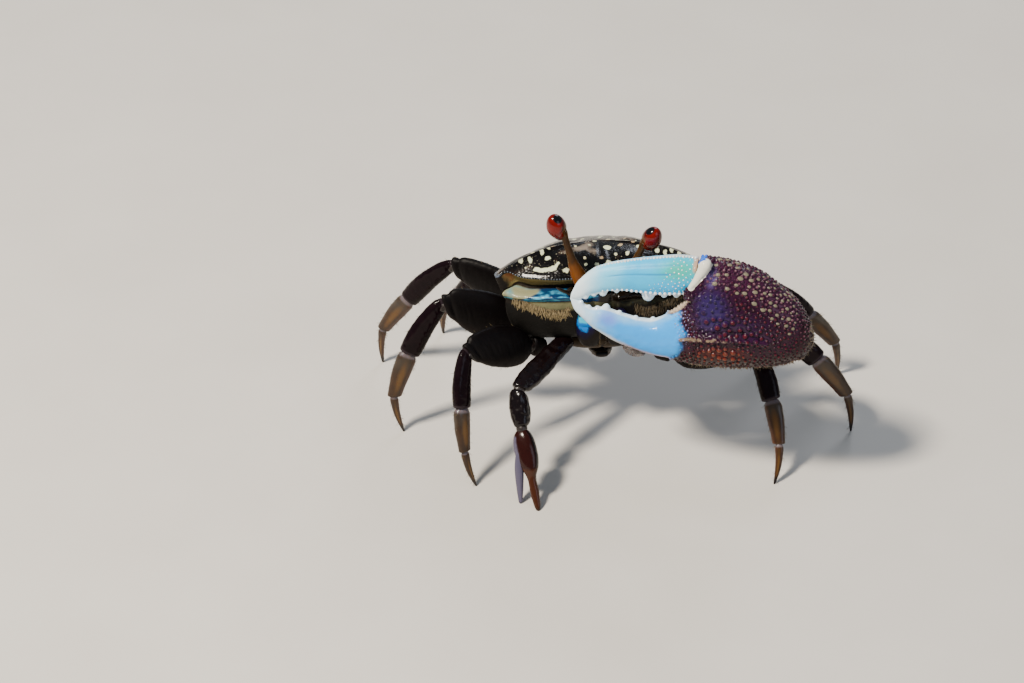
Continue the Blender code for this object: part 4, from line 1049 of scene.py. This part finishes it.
# Arm cuticle: thick, waxed and granular, so broken glossy lights on brown-black, redder below
arm_cuticle = cuticle("glossy brown-black arm cuticle", "150d0e", "43292a", 0.9, 0.26, 0.5, [
    ("under", 0.5, 1.0, "5a2c1e"), ("bead", 0.3, 0.8, "6c4a44"),
])
GRANULE_SPACING = 0.75
GREAT_ARM_PLACES.append(on_claw(np.array((2.6, -1.6, 0.6))))
arm_rows = (
    ("base", "arm_root", ((0.0, 1.3, 1.3, 1.2), (0.5, 1.5, 1.5, 1.3), (1.0, 1.3, 1.3, 1.1))),
    ("merus", "arm_thigh", ((0.0, 1.0, 1.0, 0.9), (0.15, 1.3, 1.2, 1.05), (0.5, 1.6, 1.5, 1.15),
                            (0.85, 1.8, 1.6, 1.2), (1.0, 1.4, 1.3, 1.0))),
    ("carpus", "arm_wrist", ((0.0, 1.3, 1.2, 1.1), (0.3, 1.9, 1.7, 1.7), (0.7, 2.0, 1.8, 1.8),
                             (1.0, 1.6, 1.4, 1.5))),
)
for k, (part, name, profile) in enumerate(arm_rows):
    heel = square_plane(GREAT_ARM_PLACES[3], 2 * GREAT_ARM_PLACES[3] - GREAT_ARM_PLACES[2])
    start, end, first, last = jointed(GREAT_ARM_PLACES, k, heel if part == "carpus" else None)
    across = np.array((1.0, 0, 0)) if k == 0 else np.array((0, 1.0, 0.15))
    steps = 120 if part == "merus" else 80
    rings, share, angles = limb(start, end, across, profile, first, last, 96, steps, 0.85, 0.7, 0.6)
    length = np.linalg.norm(end - start)
    columns = np.round(share * length / GRANULE_SPACING)
    cell = np.cos(share * length * 2 * math.pi / GRANULE_SPACING) * np.cos(angles * 13 + columns * math.pi)
    bead = np.clip(cell, 0, 1) ** 1.5 * eased(np.sin(angles), -0.5, 0.5) * off_ends(share, 9)
    swell = 0.1 * bead + 0.03 * bumpy(rings, 0.6, 3, k).reshape(share.shape)
    rings = rings + outward(rings) * swell[..., None]
    points, faces = skin(rings)
    obj = piece(name, points, faces, arm_cuticle, ["cheliped_major_" + part])
    mark(obj, under=spread(eased(-np.sin(angles), 0.0, 0.8)), bead=spread(bead))
for k in (1, 2):
    path = joint_path(*GREAT_ARM_PLACES[k - 1 : k + 2], 0.9, 0.4)
    sleeve(f"arm_membrane_{k}", path, (0.8, 0.95, 1.0, 0.95, 0.8), 32, 0.3)


# GREAT CLAW: PALM AND FIXED FINGER
# One thick plate of shell. The palm is purple and maroon, set all over with glossy round tubercles, and ends
# in a cream hinge knob; the fixed finger is smooth, sky blue, with a white toothed edge and tip.
PALM_END = 14.4
CLAW_VOXEL = 0.125
GRAIN_SPACING = 0.38
GRAIN_RADIUS = 0.15
PALM_TOP = [(0, 0), (1.1, 2.2), (2.5, 3.9), (4.8, 5.4), (7.8, 6.8), (10.5, 7.3), (14.4, 7.25)]
CLAW_BELOW = [(0, -1.2), (0.5, -2.1), (2, -3.2), (5.9, -4.6), (10.5, -5.5), (14.6, -5.8),
              (19.4, -5.65), (23.8, -4.6), (26.8, -3), (28, -1.9), (28.4, -1.2)]
POLLEX_TOP = [(14.4, 2.2), (15.2, 1.5), (16.6, -0.1), (18.3, -1.4), (20.1, -1.7), (22.5, -1.5),
              (24.3, -1.25), (26, -1.6), (27.5, -1.05), (28.4, -0.8)]
CLAW_OUTER = [(0, 0.4), (0.6, 1.6), (2, 2.6), (5, 3.5), (9, 3.8), (12.5, 3.4), (14.4, 2.7),
              (17, 2), (22, 1.4), (26, 1), (28.3, 0.4)]
CLAW_INNER = [(0, 0.4), (0.6, 1.2), (2, 1.9), (5, 2.4), (9, 2.6), (12.5, 2.3), (14.4, 2),
              (17, 1.6), (22, 1.2), (26, 0.8), (28.3, 0.4)]
POLLEX_TEETH = [(16.9, 0.26), (18.6, 0.26), (20.6, 0.26), (22.6, 0.26), (24.2, 0.42), (25.2, 0.26),
                (26.2, 0.26), (27.2, 0.24)]


def claw_form(places, below, above, outer, inner, sides=72):
    """A closed form over cross-sections at places along the claw, in claw millimetres."""
    c, s = oval(turns(sides), 0.9)
    low, high, out, back = (through(line, places)[:, None] for line in (below, above, outer, inner))
    x = np.tile(places[:, None], (1, sides))
    return skin(np.stack((x, c * np.where(c > 0, out, back), (low + high) / 2 + s * (high - low) / 2), -1))


def egg(centre, half, steps=16):
    """A closed egg form with half sizes along the claw's axes."""
    return skin(np.array(centre) + globe(0.08, steps, 24) * np.array(half))


def fused(forms, voxel, rounds):
    """One even skin over closed forms that cross: its points, faces and normals, smoothed in rounds."""
    points, faces = [], []
    for form_points, form_faces in forms:
        start = sum(len(p) for p in points)
        points.append(form_points)
        faces += [[i + start for i in face] for face in form_faces]
    mesh = bpy.data.meshes.new("fused")
    mesh.from_pydata(np.concatenate(points).tolist(), [], faces)
    obj = put("fused", mesh)
    remesh = obj.modifiers.new("even", "REMESH")
    remesh.mode, remesh.voxel_size = "VOXEL", voxel
    smooth = obj.modifiers.new("smooth", "SMOOTH")
    smooth.factor, smooth.iterations = 0.5, rounds
    obj.modifiers.new("fine", "SUBSURF").levels = 1
    made = bpy.data.meshes.new_from_object(obj.evaluated_get(bpy.context.evaluated_depsgraph_get()))
    bpy.data.objects.remove(obj)
    flat_points = np.empty(3 * len(made.vertices))
    made.vertices.foreach_get("co", flat_points)
    normals = np.empty(3 * len(made.vertices))
    made.vertices.foreach_get("normal", normals)
    return flat_points.reshape(-1, 3), [list(p.vertices) for p in made.polygons], normals.reshape(-1, 3)


def scattered(points, spacing, among):
    """Indices picked at random among points, no two closer than their spacing."""
    spacing = np.broadcast_to(spacing, len(points))
    cell = spacing.max()
    grid, picked = {}, []
    keys = np.floor(points / cell).astype(int)
    for i in draw.permutation(among):
        a, b, c = keys[i]
        close = [j for x in (-1, 0, 1) for y in (-1, 0, 1) for z in (-1, 0, 1)
                 for j in grid.get((a + x, b + y, c + z), ())]
        if not close or np.all(
            np.linalg.norm(points[close] - points[i], axis=1) > 0.5 * (spacing[close] + spacing[i])
        ):
            picked.append(i)
            grid.setdefault((a, b, c), []).append(i)
    return np.array(picked)


def domes(points, centres, radii):
    """How far into the nearest dome each point lies, 1 at its middle and 0 at its foot, and which dome."""
    tree = kdtree.KDTree(len(centres))
    for k, centre in enumerate(centres):
        tree.insert(centre, k)
    tree.balance()
    depth, which = np.full(len(points), -9.0), np.zeros(len(points), int)
    for i, point in enumerate(points):
        for _, k, distance in tree.find_n(point, 2):
            inside = 1 - (distance / radii[k]) ** 2
            if inside > depth[i]:
                depth[i], which[i] = inside, k
    return depth, which


def line_share(u, v, corners, width):
    """How close points of the claw's plane lie to a broken line."""
    best = np.full(len(u), 9.0)
    for (x0, y0), (x1, y1) in zip(corners[:-1], corners[1:]):
        t = np.clip(((u - x0) * (x1 - x0) + (v - y0) * (y1 - y0)) / ((x1 - x0) ** 2 + (y1 - y0) ** 2), 0, 1)
        best = np.minimum(best, np.hypot(u - x0 - t * (x1 - x0), v - y0 - t * (y1 - y0)))
    return np.exp(-((best / width) ** 2))


palm_places = np.concatenate((np.linspace(0.02, 2, 14), np.linspace(2.4, PALM_END, 34)))
pollex_places = np.concatenate((np.linspace(13.4, 26.5, 50), np.linspace(26.7, 28.38, 14)))
forms = [claw_form(palm_places, CLAW_BELOW, PALM_TOP, CLAW_OUTER, CLAW_INNER),
         claw_form(pollex_places, CLAW_BELOW, POLLEX_TOP, CLAW_OUTER, CLAW_INNER)]
for t in np.linspace(0, 1, 9):
    x, z = 13.85 + 1.15 * t**1.3, 6.7 - 2.75 * t
    size = 0.84 - 0.5 * t**0.7
    forms.append(egg((x, through(CLAW_OUTER, x) * (0.6 + 0.26 * t), z), (size, size * 1.05, size)))
forms.append(egg((14.75, 1.9, 3.0), (0.95, 0.75, 1.05)))
for x, tall in POLLEX_TEETH:
    half = (0.95 * tall + 0.1, 0.9 * tall + 0.12, 1.2 * tall + 0.1)
    forms.append(egg((x, 0.15, through(POLLEX_TOP, x) - 0.08), half))
points, faces, normals = fused(forms, CLAW_VOXEL, 4)
u, w, v = points.T
outer = eased(w, -0.7, 0.4)
border = u - 0.45 * np.maximum(v + 1.6, 0) - 0.6 * np.maximum(-4.0 - v, 0) + 0.3 * bumpy(points, 1.2, 3, 8.0)
palm = 1 - eased(border, 13.8, 15.7)
top_line, low_line = through(PALM_TOP, u), through(CLAW_BELOW, u)
knob_at = np.clip((6.7 - v) / 2.75, 0, 1)
from_knob = np.hypot(u - 13.85 - 1.15 * knob_at**1.3, v - 6.7 + 2.75 * knob_at)
knob = 0.95 - from_knob / (1.02 - 0.58 * knob_at**0.7)
knob = eased(np.where(w > 1.2, knob, -1.0), -0.05, 0.2)
rim = line_share(u, v, [(14.9, 2.1), (15.3, 1.45), (15.85, 0.75), (16.74, -0.1), (18.2, -0.95)], 0.36)
rim *= 1 - 0.75 * eased(u, 16.2, 18.0)
low_ridge = line_share(u, v, [(15.1, -2.5), (12.1, -1.75), (8.4, -0.85), (5.2, -0.65)], 0.34) * (w > 0.5)
crust = 1.15 * line_share(u, v, [(15.1, -2.45), (13.6, -1.95), (12.1, -1.6), (8.6, -0.8)], 0.25)
crust *= (w > 0.5) * (1 - 0.7 * eased(-u, -10.5, -8.8))
crust = np.maximum(crust, near(v - low_line, 0.1, 0.33) * (1 - eased(u, 12.8, 14.8)) * (w > -1.0))
crust = np.maximum(crust, 0.85 * (1 - eased(u - 0.12 * v, 0.2, 1.2)))
crust = crust * np.clip(1.0 + 1.0 * bumpy(points, 0.8, 3, 6.0) + 0.7 * bumpy(points, 0.25, 2, 9.0), 0.0, 1.4)
bulk = 0.36 * low_ridge - 0.2 * line_share(u, v, [(14.3, -1.3), (11.3, -0.7), (8.0, 0.0)], 0.4) * (w > 0.5)
bulk -= 0.25 * line_share(u, v, [(12.75, 7.3), (12.85, 5.8), (13.6, 4.2), (13.9, 3.6)], 0.3) * (w > 0.5)
bulk += 0.12 * crust
points = points + normals * (bulk + 0.05 * bumpy(points, 1.4, 3, 2.0))[:, None]

# Tubercles: oval pale ones along the top, round glossy ones all over, fine grains where the finger begins
violet = near(u, 12.2, 2.8) * near(v, 1.8, 3.2) * (w > 0)
stout = near(u, 9.8, 3.4) * near(v - 0.15 * (u - 9.8), 0.5, 0.95)
on_palm = (palm > 0.45) & (w > -1.2) & (knob < 0.1) & (rim < 0.45) & (u > 0.7)
pale_size = 0.21 + 0.08 * eased(u, 5.0, 11.0)
allowed = on_palm & (top_line - v < 2.9 - 0.1 * (u - 8.0)) & (w > 0.2) & (u > 2.4) & (u < 12.9)
pale_centres = scattered(points, 3.15 * pale_size, np.flatnonzero(allowed)[::3])
stretch = np.array((0.74, 1.0, 1.0))
pale_radii = pale_size[pale_centres] * draw.uniform(0.6, 1.15, len(pale_centres))
pale_depth, _ = domes(points * stretch, points[pale_centres] * stretch, pale_radii)
pale_bead = np.maximum(pale_depth, 0)
big = 0.205 + 0.06 * violet + 0.17 * stout + 0.13 * near(u, 9.8, 2.8) * near(v, -2.9, 1.3)
big = np.where(w > 0, big, 0.19) - 0.03 * (1 - eased(u, 1.0, 5.0))
allowed = on_palm & (pale_bead <= 0)
centres = scattered(points, 2.15 * big + 0.02, np.flatnonzero(allowed)[::2])
radii = big[centres] * draw.uniform(0.75, 1.2, len(centres))
depth, which = domes(points, points[centres], radii)
bead = np.maximum(depth, 0) * (pale_bead <= 0)
base_grains = near(border, 14.6, 1.1) * near(v, -0.6, 2.6) * (w > 0)
allowed = ((base_grains > 0.3) | ((rim > 0.3) & (u < 17.6)) | (crust > 0.5)) & (knob < 0.2) & (bead <= 0)
grains = scattered(points, GRAIN_SPACING, np.flatnonzero(allowed)[::2])
sizes = GRAIN_RADIUS * draw.uniform(0.75, 1.25, len(grains))
fine_depth, _ = domes(points, points[grains], sizes)
fine_bead = np.maximum(fine_depth, 0) * (bead <= 0)
# The ground round each tubercle's foot is dipped a little and darkened as painted shade.
valley = np.maximum(near(depth, -0.4, 0.45), near(pale_depth, -0.3, 0.3)) * (bead <= 0) * (pale_bead <= 0)
rise = 0.8 * radii[which] * bead**0.8 + 0.13 * pale_bead**0.8 + 0.1 * fine_bead**0.8 - 0.03 * valley
rise += 0.12 * bumpy(points, 0.3, 2, 5.0) * np.clip(crust, 0, 1)
points = points + normals * rise[:, None]

# Palm cuticle: purple pigment under knobs of wax and lime, so each tubercle shines on a duller ground,
# darkened round the tubercles' feet as painted shade; the finger's shell is smooth and chalky under the
# pigment, so its blue is even and goes to white at the tip
palm_cuticle = cuticle("purple granular claw shell", "1d061a", "340c26", 1.3, 0.2, 0.2, [
    ("mauve", 0.2, 1.1, "3a1630"), ("brick", 0.2, 1.0, "561810"), ("violet", 0.1, 1.0, "2c1e4e"),
    ("lilac", 0.3, 1.0, "4a3a6c"), ("brown_heel", 0.2, 1.0, "24060c"), ("inner_side", 0.4, 0.8, "2e1c2c"),
    ("valley", 0.2, 1.0, "0a040a"), ("maroon_bead", 0.1, 0.9, "4a0e1c"), ("brick_bead", 0.15, 0.9, "642e20"),
    ("mauve_bead", 0.2, 1.0, "6c4a56"), ("blue_bead", 0.2, 1.0, "1c1034"),
    ("cream_bead", 0.25, 0.8, "76705c"),
    ("sky", 0.15, 1.0, "1ea0f8"), ("pale_sky", 0.2, 1.2, "86c8fa"), ("lavender", 0.2, 1.2, "7088ee"),
    ("crust", 0.4, 0.9, "766350"), ("gape_rim", 0.35, 0.85, "c2ae96"), ("pale_grain", 0.25, 0.9, "8e88b8"),
    ("rim_grain", 0.25, 0.9, "c8b8a4"), ("rosy_edge", 0.4, 1.1, "b8867a"), ("white", 0.1, 1.0, "e0f2fa"),
    ("knob", 0.3, 0.6, "e6e4d6"), ("hinge_blue", 0.35, 0.65, "2068dc"),
], 0.05, 0.3, 0.15, 0.04, (0.6, 0.4, 0.5))
great_palm = piece("great_palm_and_fixed_finger", on_claw(points), faces, palm_cuticle,
                   ["cheliped_major_manus"])
pick = draw.random(len(centres))[which]
facing = w > 0
brick = near(v + 0.2 * (u - 9.0), -3.2, 1.5) * near(u, 10.2, 3.6) * facing
bluish = violet * (1 - stout)
palm_bead = bead * palm
sky = (1 - palm) * (1 - eased(rim, 0.3, 0.9))
gape = v - through(POLLEX_TOP, u)
edge_low = near(v - low_line, 0.0, 0.75) * eased(u, 14.0, 16.5)
edge_top = 0.9 * near(np.minimum(gape, 0.0), 0.0, 0.17) * eased(u, 16.0, 18.5)
white = np.maximum(0.8 * edge_low * eased(u, 19, 23), edge_top)
white = np.maximum(white, eased(u - 0.25 * (v + 3), 22.6, 28.6))
mark(
    great_palm,
    mauve=outer * near(top_line - v, 1.2, 2.2),
    brick=brick,
    violet=facing * (1.1 * near(u, 12.3, 2.1) * near(v, 2.0, 2.8)
                     + 0.45 * near(u, 7.5, 3.4) * near(v, 0.8, 2.2)),
    lilac=near(u, 12.9, 0.9) * near(v, 5.6, 1.6) * facing,
    brown_heel=np.maximum(0.8 * (1 - eased(u, 0.8, 3.6)), 0.9 * near(v - low_line, 0.8, 1.7)),
    inner_side=(1 - outer) * 0.75,
    valley=valley * palm * (1 - 0.75 * bluish),
    maroon_bead=palm_bead * (0.3 + 0.8 * pick) * (1 - 0.6 * bluish) * (1 + stout),
    brick_bead=palm_bead * brick * 1.5,
    mauve_bead=palm_bead * near(top_line - v, 1.0, 2.0) * (pick > 0.45) * facing,
    blue_bead=1.3 * palm_bead * bluish,
    cream_bead=np.sqrt(pale_bead) * 1.1,
    sky=np.where(u > 12, sky, 0.0),
    pale_sky=sky * (0.8 * near(gape, -0.1, 0.7) + 0.6 * eased(u, 20.0, 25.0)),
    lavender=sky * near(u, 23.8, 1.6) * near(v, -2.2, 1.2) * 0.9,
    pale_grain=fine_bead * (base_grains + 0.2) * facing * (1 - eased(rim, 0.2, 0.5)),
    crust=crust * 0.9 * (0.75 + 0.3 * fine_bead),
    gape_rim=rim * (0.75 + 0.3 * fine_bead),
    rim_grain=fine_bead * rim,
    rosy_edge=edge_low * (1 - eased(u, 23.0, 26.0)),
    white=white,
    knob=knob,
    hinge_blue=near(u, 14.5, 0.7) * near(v, 7.3, 0.55) * (w < 2.1) * 1.2,
)
rough = np.flatnonzero((crust > 0.55) & (w > -1.4) & ((v - low_line < 1.0) | (u < 1.4)) & (u < 14.0))
roots = scattered(points, 0.3, rough)
ways = normals[roots] * (1, 0.6, 1) + draw.uniform(-0.5, 0.5, (len(roots), 3)) - (0.2, 0, 0.2)
hairs("palm_edge_bristles", on_claw(points[roots] - 0.05 * normals[roots]), on_claw(ways) - CLAW_HEEL,
      draw.uniform(0.18, 0.5, len(roots)), 0.035, bristle, 0.7)


# GREAT CLAW: MOVING FINGER
# A smooth blade of turquoise shell with a white tip, two faint grooves, a row of fine beads on its back, a
# row of round white beads and teeth on its cutting edge. It is cast with the claw open and held still.
DACTYL_TOP = [(14.7, 7), (16.9, 6.8), (19.1, 6.2), (21.4, 5.5), (23.6, 4.7), (25.2, 4),
              (26.5, 3.2), (27.5, 2), (28.2, 0.8), (28.5, -0.3)]
DACTYL_BELOW = [(14.7, 2.4), (16.6, 2), (18.9, 1.6), (21.2, 1.4), (23, 1.2), (25, 0.6),
                (26.3, 0), (27.5, -0.85), (28.5, -1.2)]
DACTYL_HALF = [(14.7, 1.4), (17, 1.7), (22, 1.45), (26, 0.95), (28.5, 0.35)]
DACTYL_TEETH = [(16.5, 0.3), (17.9, 0.32), (19.7, 0.66), (23.4, 0.24), (24.9, 0.4), (25.9, 0.26),
                (26.8, 0.24)]
BACK_BEAD_SPACING = 0.36
EDGE_BEAD_SPACING = 0.55
BASE_BEAD_SPACING = 0.42

finger_places = np.concatenate([
    np.linspace(*row) for row in ((14.72, 16, 8), (16.3, 26, 40), (26.2, 28.5, 20))
])
forms = [claw_form(finger_places, DACTYL_BELOW, DACTYL_TOP, DACTYL_HALF, DACTYL_HALF)]
for x, tall in DACTYL_TEETH:
    z = through(DACTYL_BELOW, x)
    forms.append(egg((x, 0.1, z + 0.08), (1.1 * tall + 0.1, 0.9 * tall + 0.12, 1.45 * tall + 0.1)))
for x in np.arange(25.3, 28.0, 0.42):
    forms.append(egg((x, 0.0, through(DACTYL_BELOW, x) + 0.02), (0.17, 0.2, 0.26)))
points, faces, normals = fused(forms, CLAW_VOXEL, 2)
u, w, v = points.T
upper, lower = through(DACTYL_TOP, u), through(DACTYL_BELOW, u)
share = (v - lower) / np.maximum(upper - lower, 0.3)
grooves = near(share, 0.62, 0.035) * eased(u, 16.0, 18.0) * (1 - eased(u, 23.5, 26.5))
grooves += 0.7 * near(share, 0.83, 0.03) * eased(u, 15.5, 17.0) * (1 - eased(u, 22.0, 25.0))
points = points + normals * (0.02 * bumpy(points, 0.9, 2, 3.0) - 0.04 * grooves * (w > 0))[:, None]
# Finger shell: smooth, thick and limy under an even pigment, so turquoise with no grain, white where it
# wears; the grooves are darkened as painted shade
finger_shell = cuticle("smooth turquoise claw shell", "00b2f4", "10c6fc", 3.0, 0.42, 0.0, [
    ("green", 0.1, 1.1, "30bcae"), ("pale", 0.2, 1.1, "6ad4ff"), ("groove", 0.2, 1.1, "0a88c4"),
    ("rosy", 0.3, 0.9, "c4a690"), ("white", 0.05, 1.0, "e4f6ff"),
], 0.03, 0.15, 0.3, 0.1, (0.5, 0.6, 0.8))
finger = piece("great_moving_finger", on_claw(points), faces, finger_shell,
               ["cheliped_major_dactyl"])
back_edge = near(share, 1.02, 0.05) * (1 - eased(u, 18, 21)) * 0.8
cutting_edge = near(share, 0.0, 0.05) + (share < 0.01)
worn_edges = np.maximum(cutting_edge, near(share, 1.0, 0.02) * 0.6)
mark(
    finger,
    green=near(u, 16.6, 2.6) * near(share, 0.72, 0.34),
    pale=eased(u, 20.5, 25.0) + 0.35 * near(share, 0.1, 0.12),
    # The grooves are darkened as painted shade.
    groove=grooves * 0.8 * (w > 0),
    rosy=(1 - eased(u, 14.9, 15.6)) * eased(share, 0.5, 0.8) + back_edge,
    white=np.maximum(eased(u + 0.15 * (share - 0.5), 24.0, 28.4), worn_edges),
)

# Ivory beads: bare lime with no pigment, so round, white and glossy
ivory = cuticle("white shell beads", "e6e8e6", "fbfbf8", 0.6, 0.22, 0.5, (), 0.02, 0.1, glow=0.15,
                glow_reach=(0.4, 0.4, 0.4))
places, sizes = [], []
x = 15.1
while x < 26.3:
    places.append((x, through(DACTYL_HALF, x) * 0.3, through(DACTYL_TOP, x) - 0.03))
    sizes.append(0.155 * draw.uniform(0.75, 1.2) * (1 - 0.3 * eased(x, 23, 26.3)))
    x += BACK_BEAD_SPACING
x = 15.6
while x < 25.2:
    half = through(DACTYL_HALF, x)
    low, high = through(DACTYL_BELOW, x), through(DACTYL_TOP, x)
    places.append((x, half * 0.67, low + 0.085 * (high - low)))
    sizes.append(0.21 * draw.uniform(0.9, 1.1) * (1 - 0.45 * eased(x, 19, 25.2)))
    x += EDGE_BEAD_SPACING
base_reach = 18.6 + 1.6 * (share < 0.4)
allowed = (w > 0.2) & (u > 15.0) & (u + 2.2 * np.abs(share - 0.45) < base_reach) & (share > 0.16)
near_base = np.flatnonzero(allowed)
for i in scattered(points, BASE_BEAD_SPACING, near_base[::3]):
    sizes.append(draw.uniform(0.07, 0.12) * (1 - 0.4 * eased(points[i, 0], 16.5, 19.5)))
    places.append(points[i] - 0.45 * sizes[-1] * normals[i])
bead_cluster("finger_beads", on_claw(np.array(places)), sizes, ivory)


# SMALL CLAW
# The feeding claw of the crab's right side, four light pieces ending in two spoon-tipped fingers. The arm is
# knobbly, glossy blackish cuticle, the palm dark red-brown, the fingers thin horn, one grey, one amber.
SMALL_ARM = [
    under_body((-3.8, -4.4, -8.3)), np.array((-8.7, -14.7, 11.6)), np.array((-8.1, -17.3, 7.9)),
    np.array((-7.0, -19.6, 4.4)),
]
SMALL_FINGER = (np.array((-8.3, -19.15, 5.9)), np.array((-7.8, -21.4, 0.0)))
SMALL_KNOBS = {"merus": 0.12, "carpus": 0.12, "manus": 0.03, "dactyl": 0.01}
small_rows = (
    ("merus", ((0.0, 1.1, 1.1, 1.0), (0.4, 1.3, 1.2, 0.9), (0.75, 1.4, 1.3, 0.95), (1.0, 1.0, 1.0, 0.8))),
    ("carpus", ((0.0, 0.9, 0.9, 0.8), (0.35, 1.3, 1.1, 1.0), (0.75, 1.2, 1.1, 1.0), (1.0, 0.8, 0.8, 0.75))),
    ("manus", ((0.0, 0.85, 0.8, 0.7), (0.12, 1.3, 1.15, 0.95), (0.3, 1.42, 1.3, 1.0), (0.48, 0.95, 1.0, 0.85),
               (0.56, 0.62, 0.64, 0.62), (0.8, 0.5, 0.55, 0.5), (1.0, 0.34, 0.34, 0.34))),
    ("dactyl", ((0.0, 0.3, 0.3, 0.3), (0.25, 0.52, 0.5, 0.48), (0.7, 0.42, 0.4, 0.4),
                (1.0, 0.22, 0.22, 0.22))),
)
# Small claw's cuticle: waxed and knobbly, so near-black with sharp small glints, red-brown on the palm's side
# and horn-coloured on the fingers, which are worn by the mud
small_cuticle = cuticle("glossy red-brown claw cuticle", "040203", "120809", 0.8, 0.2, 0.1, [
    ("red", 0.2, 0.9, "240804"), ("amber", 0.3, 0.8, "3a1c0c"), ("grey", 0.4, 0.8, "524e62"),
    ("dark_tip", 0.5, 1.0, "1c1008"),
], 0.08, 0.4, 0.25)
small_flat = np.array((0.3, 1.0, -0.6))
small_ends = [*SMALL_ARM, np.array((-6.0, -21.4, 0.0))]
for k, (part, profile) in enumerate(small_rows):
    if part == "dactyl":
        start, end = SMALL_FINGER
        first, last = square_plane(start, end), FLOOR_PLANE
    else:
        start, end, first, last = jointed(small_ends, k, FLOOR_PLANE if part == "manus" else None)
    rings, share, angles = limb(start, end, small_flat, profile, first, last, 56, 90, 0.85, 0.4, 0.6)
    swell = SMALL_KNOBS[part] * np.clip(bumpy(rings, 0.9, 2, k + 7.0), -0.3, 1).reshape(share.shape)
    rings = rings + outward(rings) * (swell * off_ends(share, 10))[..., None]
    rings[..., 2] = np.maximum(rings[..., 2], 0.0)
    points, faces = skin(rings)
    obj = piece("small_claw_" + part, points, faces, small_cuticle,
                ["cheliped_minor_" + part])
    palm = part == "manus"
    strip = eased(np.sin(angles), 0.15, 0.6) * between(share, 0.02, 0.1, 0.28, 0.4)
    mark(
        obj,
        red=spread(0.9 * palm * (1 - eased(share, 0.45, 0.55)) * eased(-np.cos(angles), 0.1, 0.8)),
        amber=spread(eased(share, 0.4, 0.52) * palm),
        grey=spread(0.9 * (part == "dactyl") + 0.8 * strip * palm),
        dark_tip=spread(eased(share, 0.85, 1.0) * (k > 1) * 0.8),
    )
for k in (1, 2, 3):
    path = joint_path(*small_ends[k - 1 : k + 2], 0.5, 0.2)
    sleeve(f"small_arm_membrane_{k}", path, (0.55, 0.66, 0.68, 0.66, 0.55), 28, 0.35)


# FLOOR, LIGHT AND CAMERA
# A plain pale floor under one large soft lamp high on the left, a broad fill, a soft light from behind and a
# pale sky. The camera stands where the photo's stood, 35 degrees above the floor.
# Plaster: matt and faintly clouded, so that only the shadow shows on it
FLOOR_HALF = 2
floor_mesh = bpy.data.meshes.new("floor")
corners = [(x * FLOOR_HALF, y * FLOOR_HALF, 0) for x, y in ((-1, -1), (1, -1), (1, 1), (-1, 1))]
floor_mesh.from_pydata(corners, [], [(0, 1, 2, 3)])
floor_paint, shader = surface("matt pale plaster")
coords = add(floor_paint, "TexCoord", {}, {}).outputs["Object"]
colour = blend(floor_paint, grain_in(floor_paint, coords, 60.0, 6.0), "cdc8c0", "d9d5cd")
connect(floor_paint, shader, {"Base Color": colour, "Roughness": 0.9})
floor_mesh.materials.append(floor_paint)
floor = put("floor", floor_mesh)

for name, place, size, power, tone in (
    ("key lamp", (-0.22, -0.18, 0.42), 0.07, 4.8, "fff4e4"),
    ("fill lamp", (0.4, -0.35, 0.25), 0.3, 0.5, "dfe9ff"),
    ("back lamp", (0.1, 0.4, 0.3), 0.2, 0.9, "eef3ff"),
):
    lamp = bpy.data.lights.new(name, "AREA")
    lamp.size, lamp.energy, lamp.color = size, power, srgb(tone)[:3]
    point_at(put(name, lamp), place, (0, 0, 0.015))
world = bpy.data.worlds.new("pale sky")
world.use_nodes = True
world.node_tree.nodes["Background"].inputs["Color"].default_value = srgb("dbe6f2")
world.node_tree.nodes["Background"].inputs["Strength"].default_value = 0.32
bpy.context.scene.world = world

aim, stand = Vector((-11.28, -7.19, 15.84)) * MM, Vector((31.53, -414.52, 302.62)) * MM
lens = bpy.data.cameras.new("camera")
lens.sensor_width, lens.lens, lens.clip_start = 36.0, 148.9, 0.01
camera = put("camera", lens)
point_at(camera, stand, aim)
bpy.context.scene.camera = camera
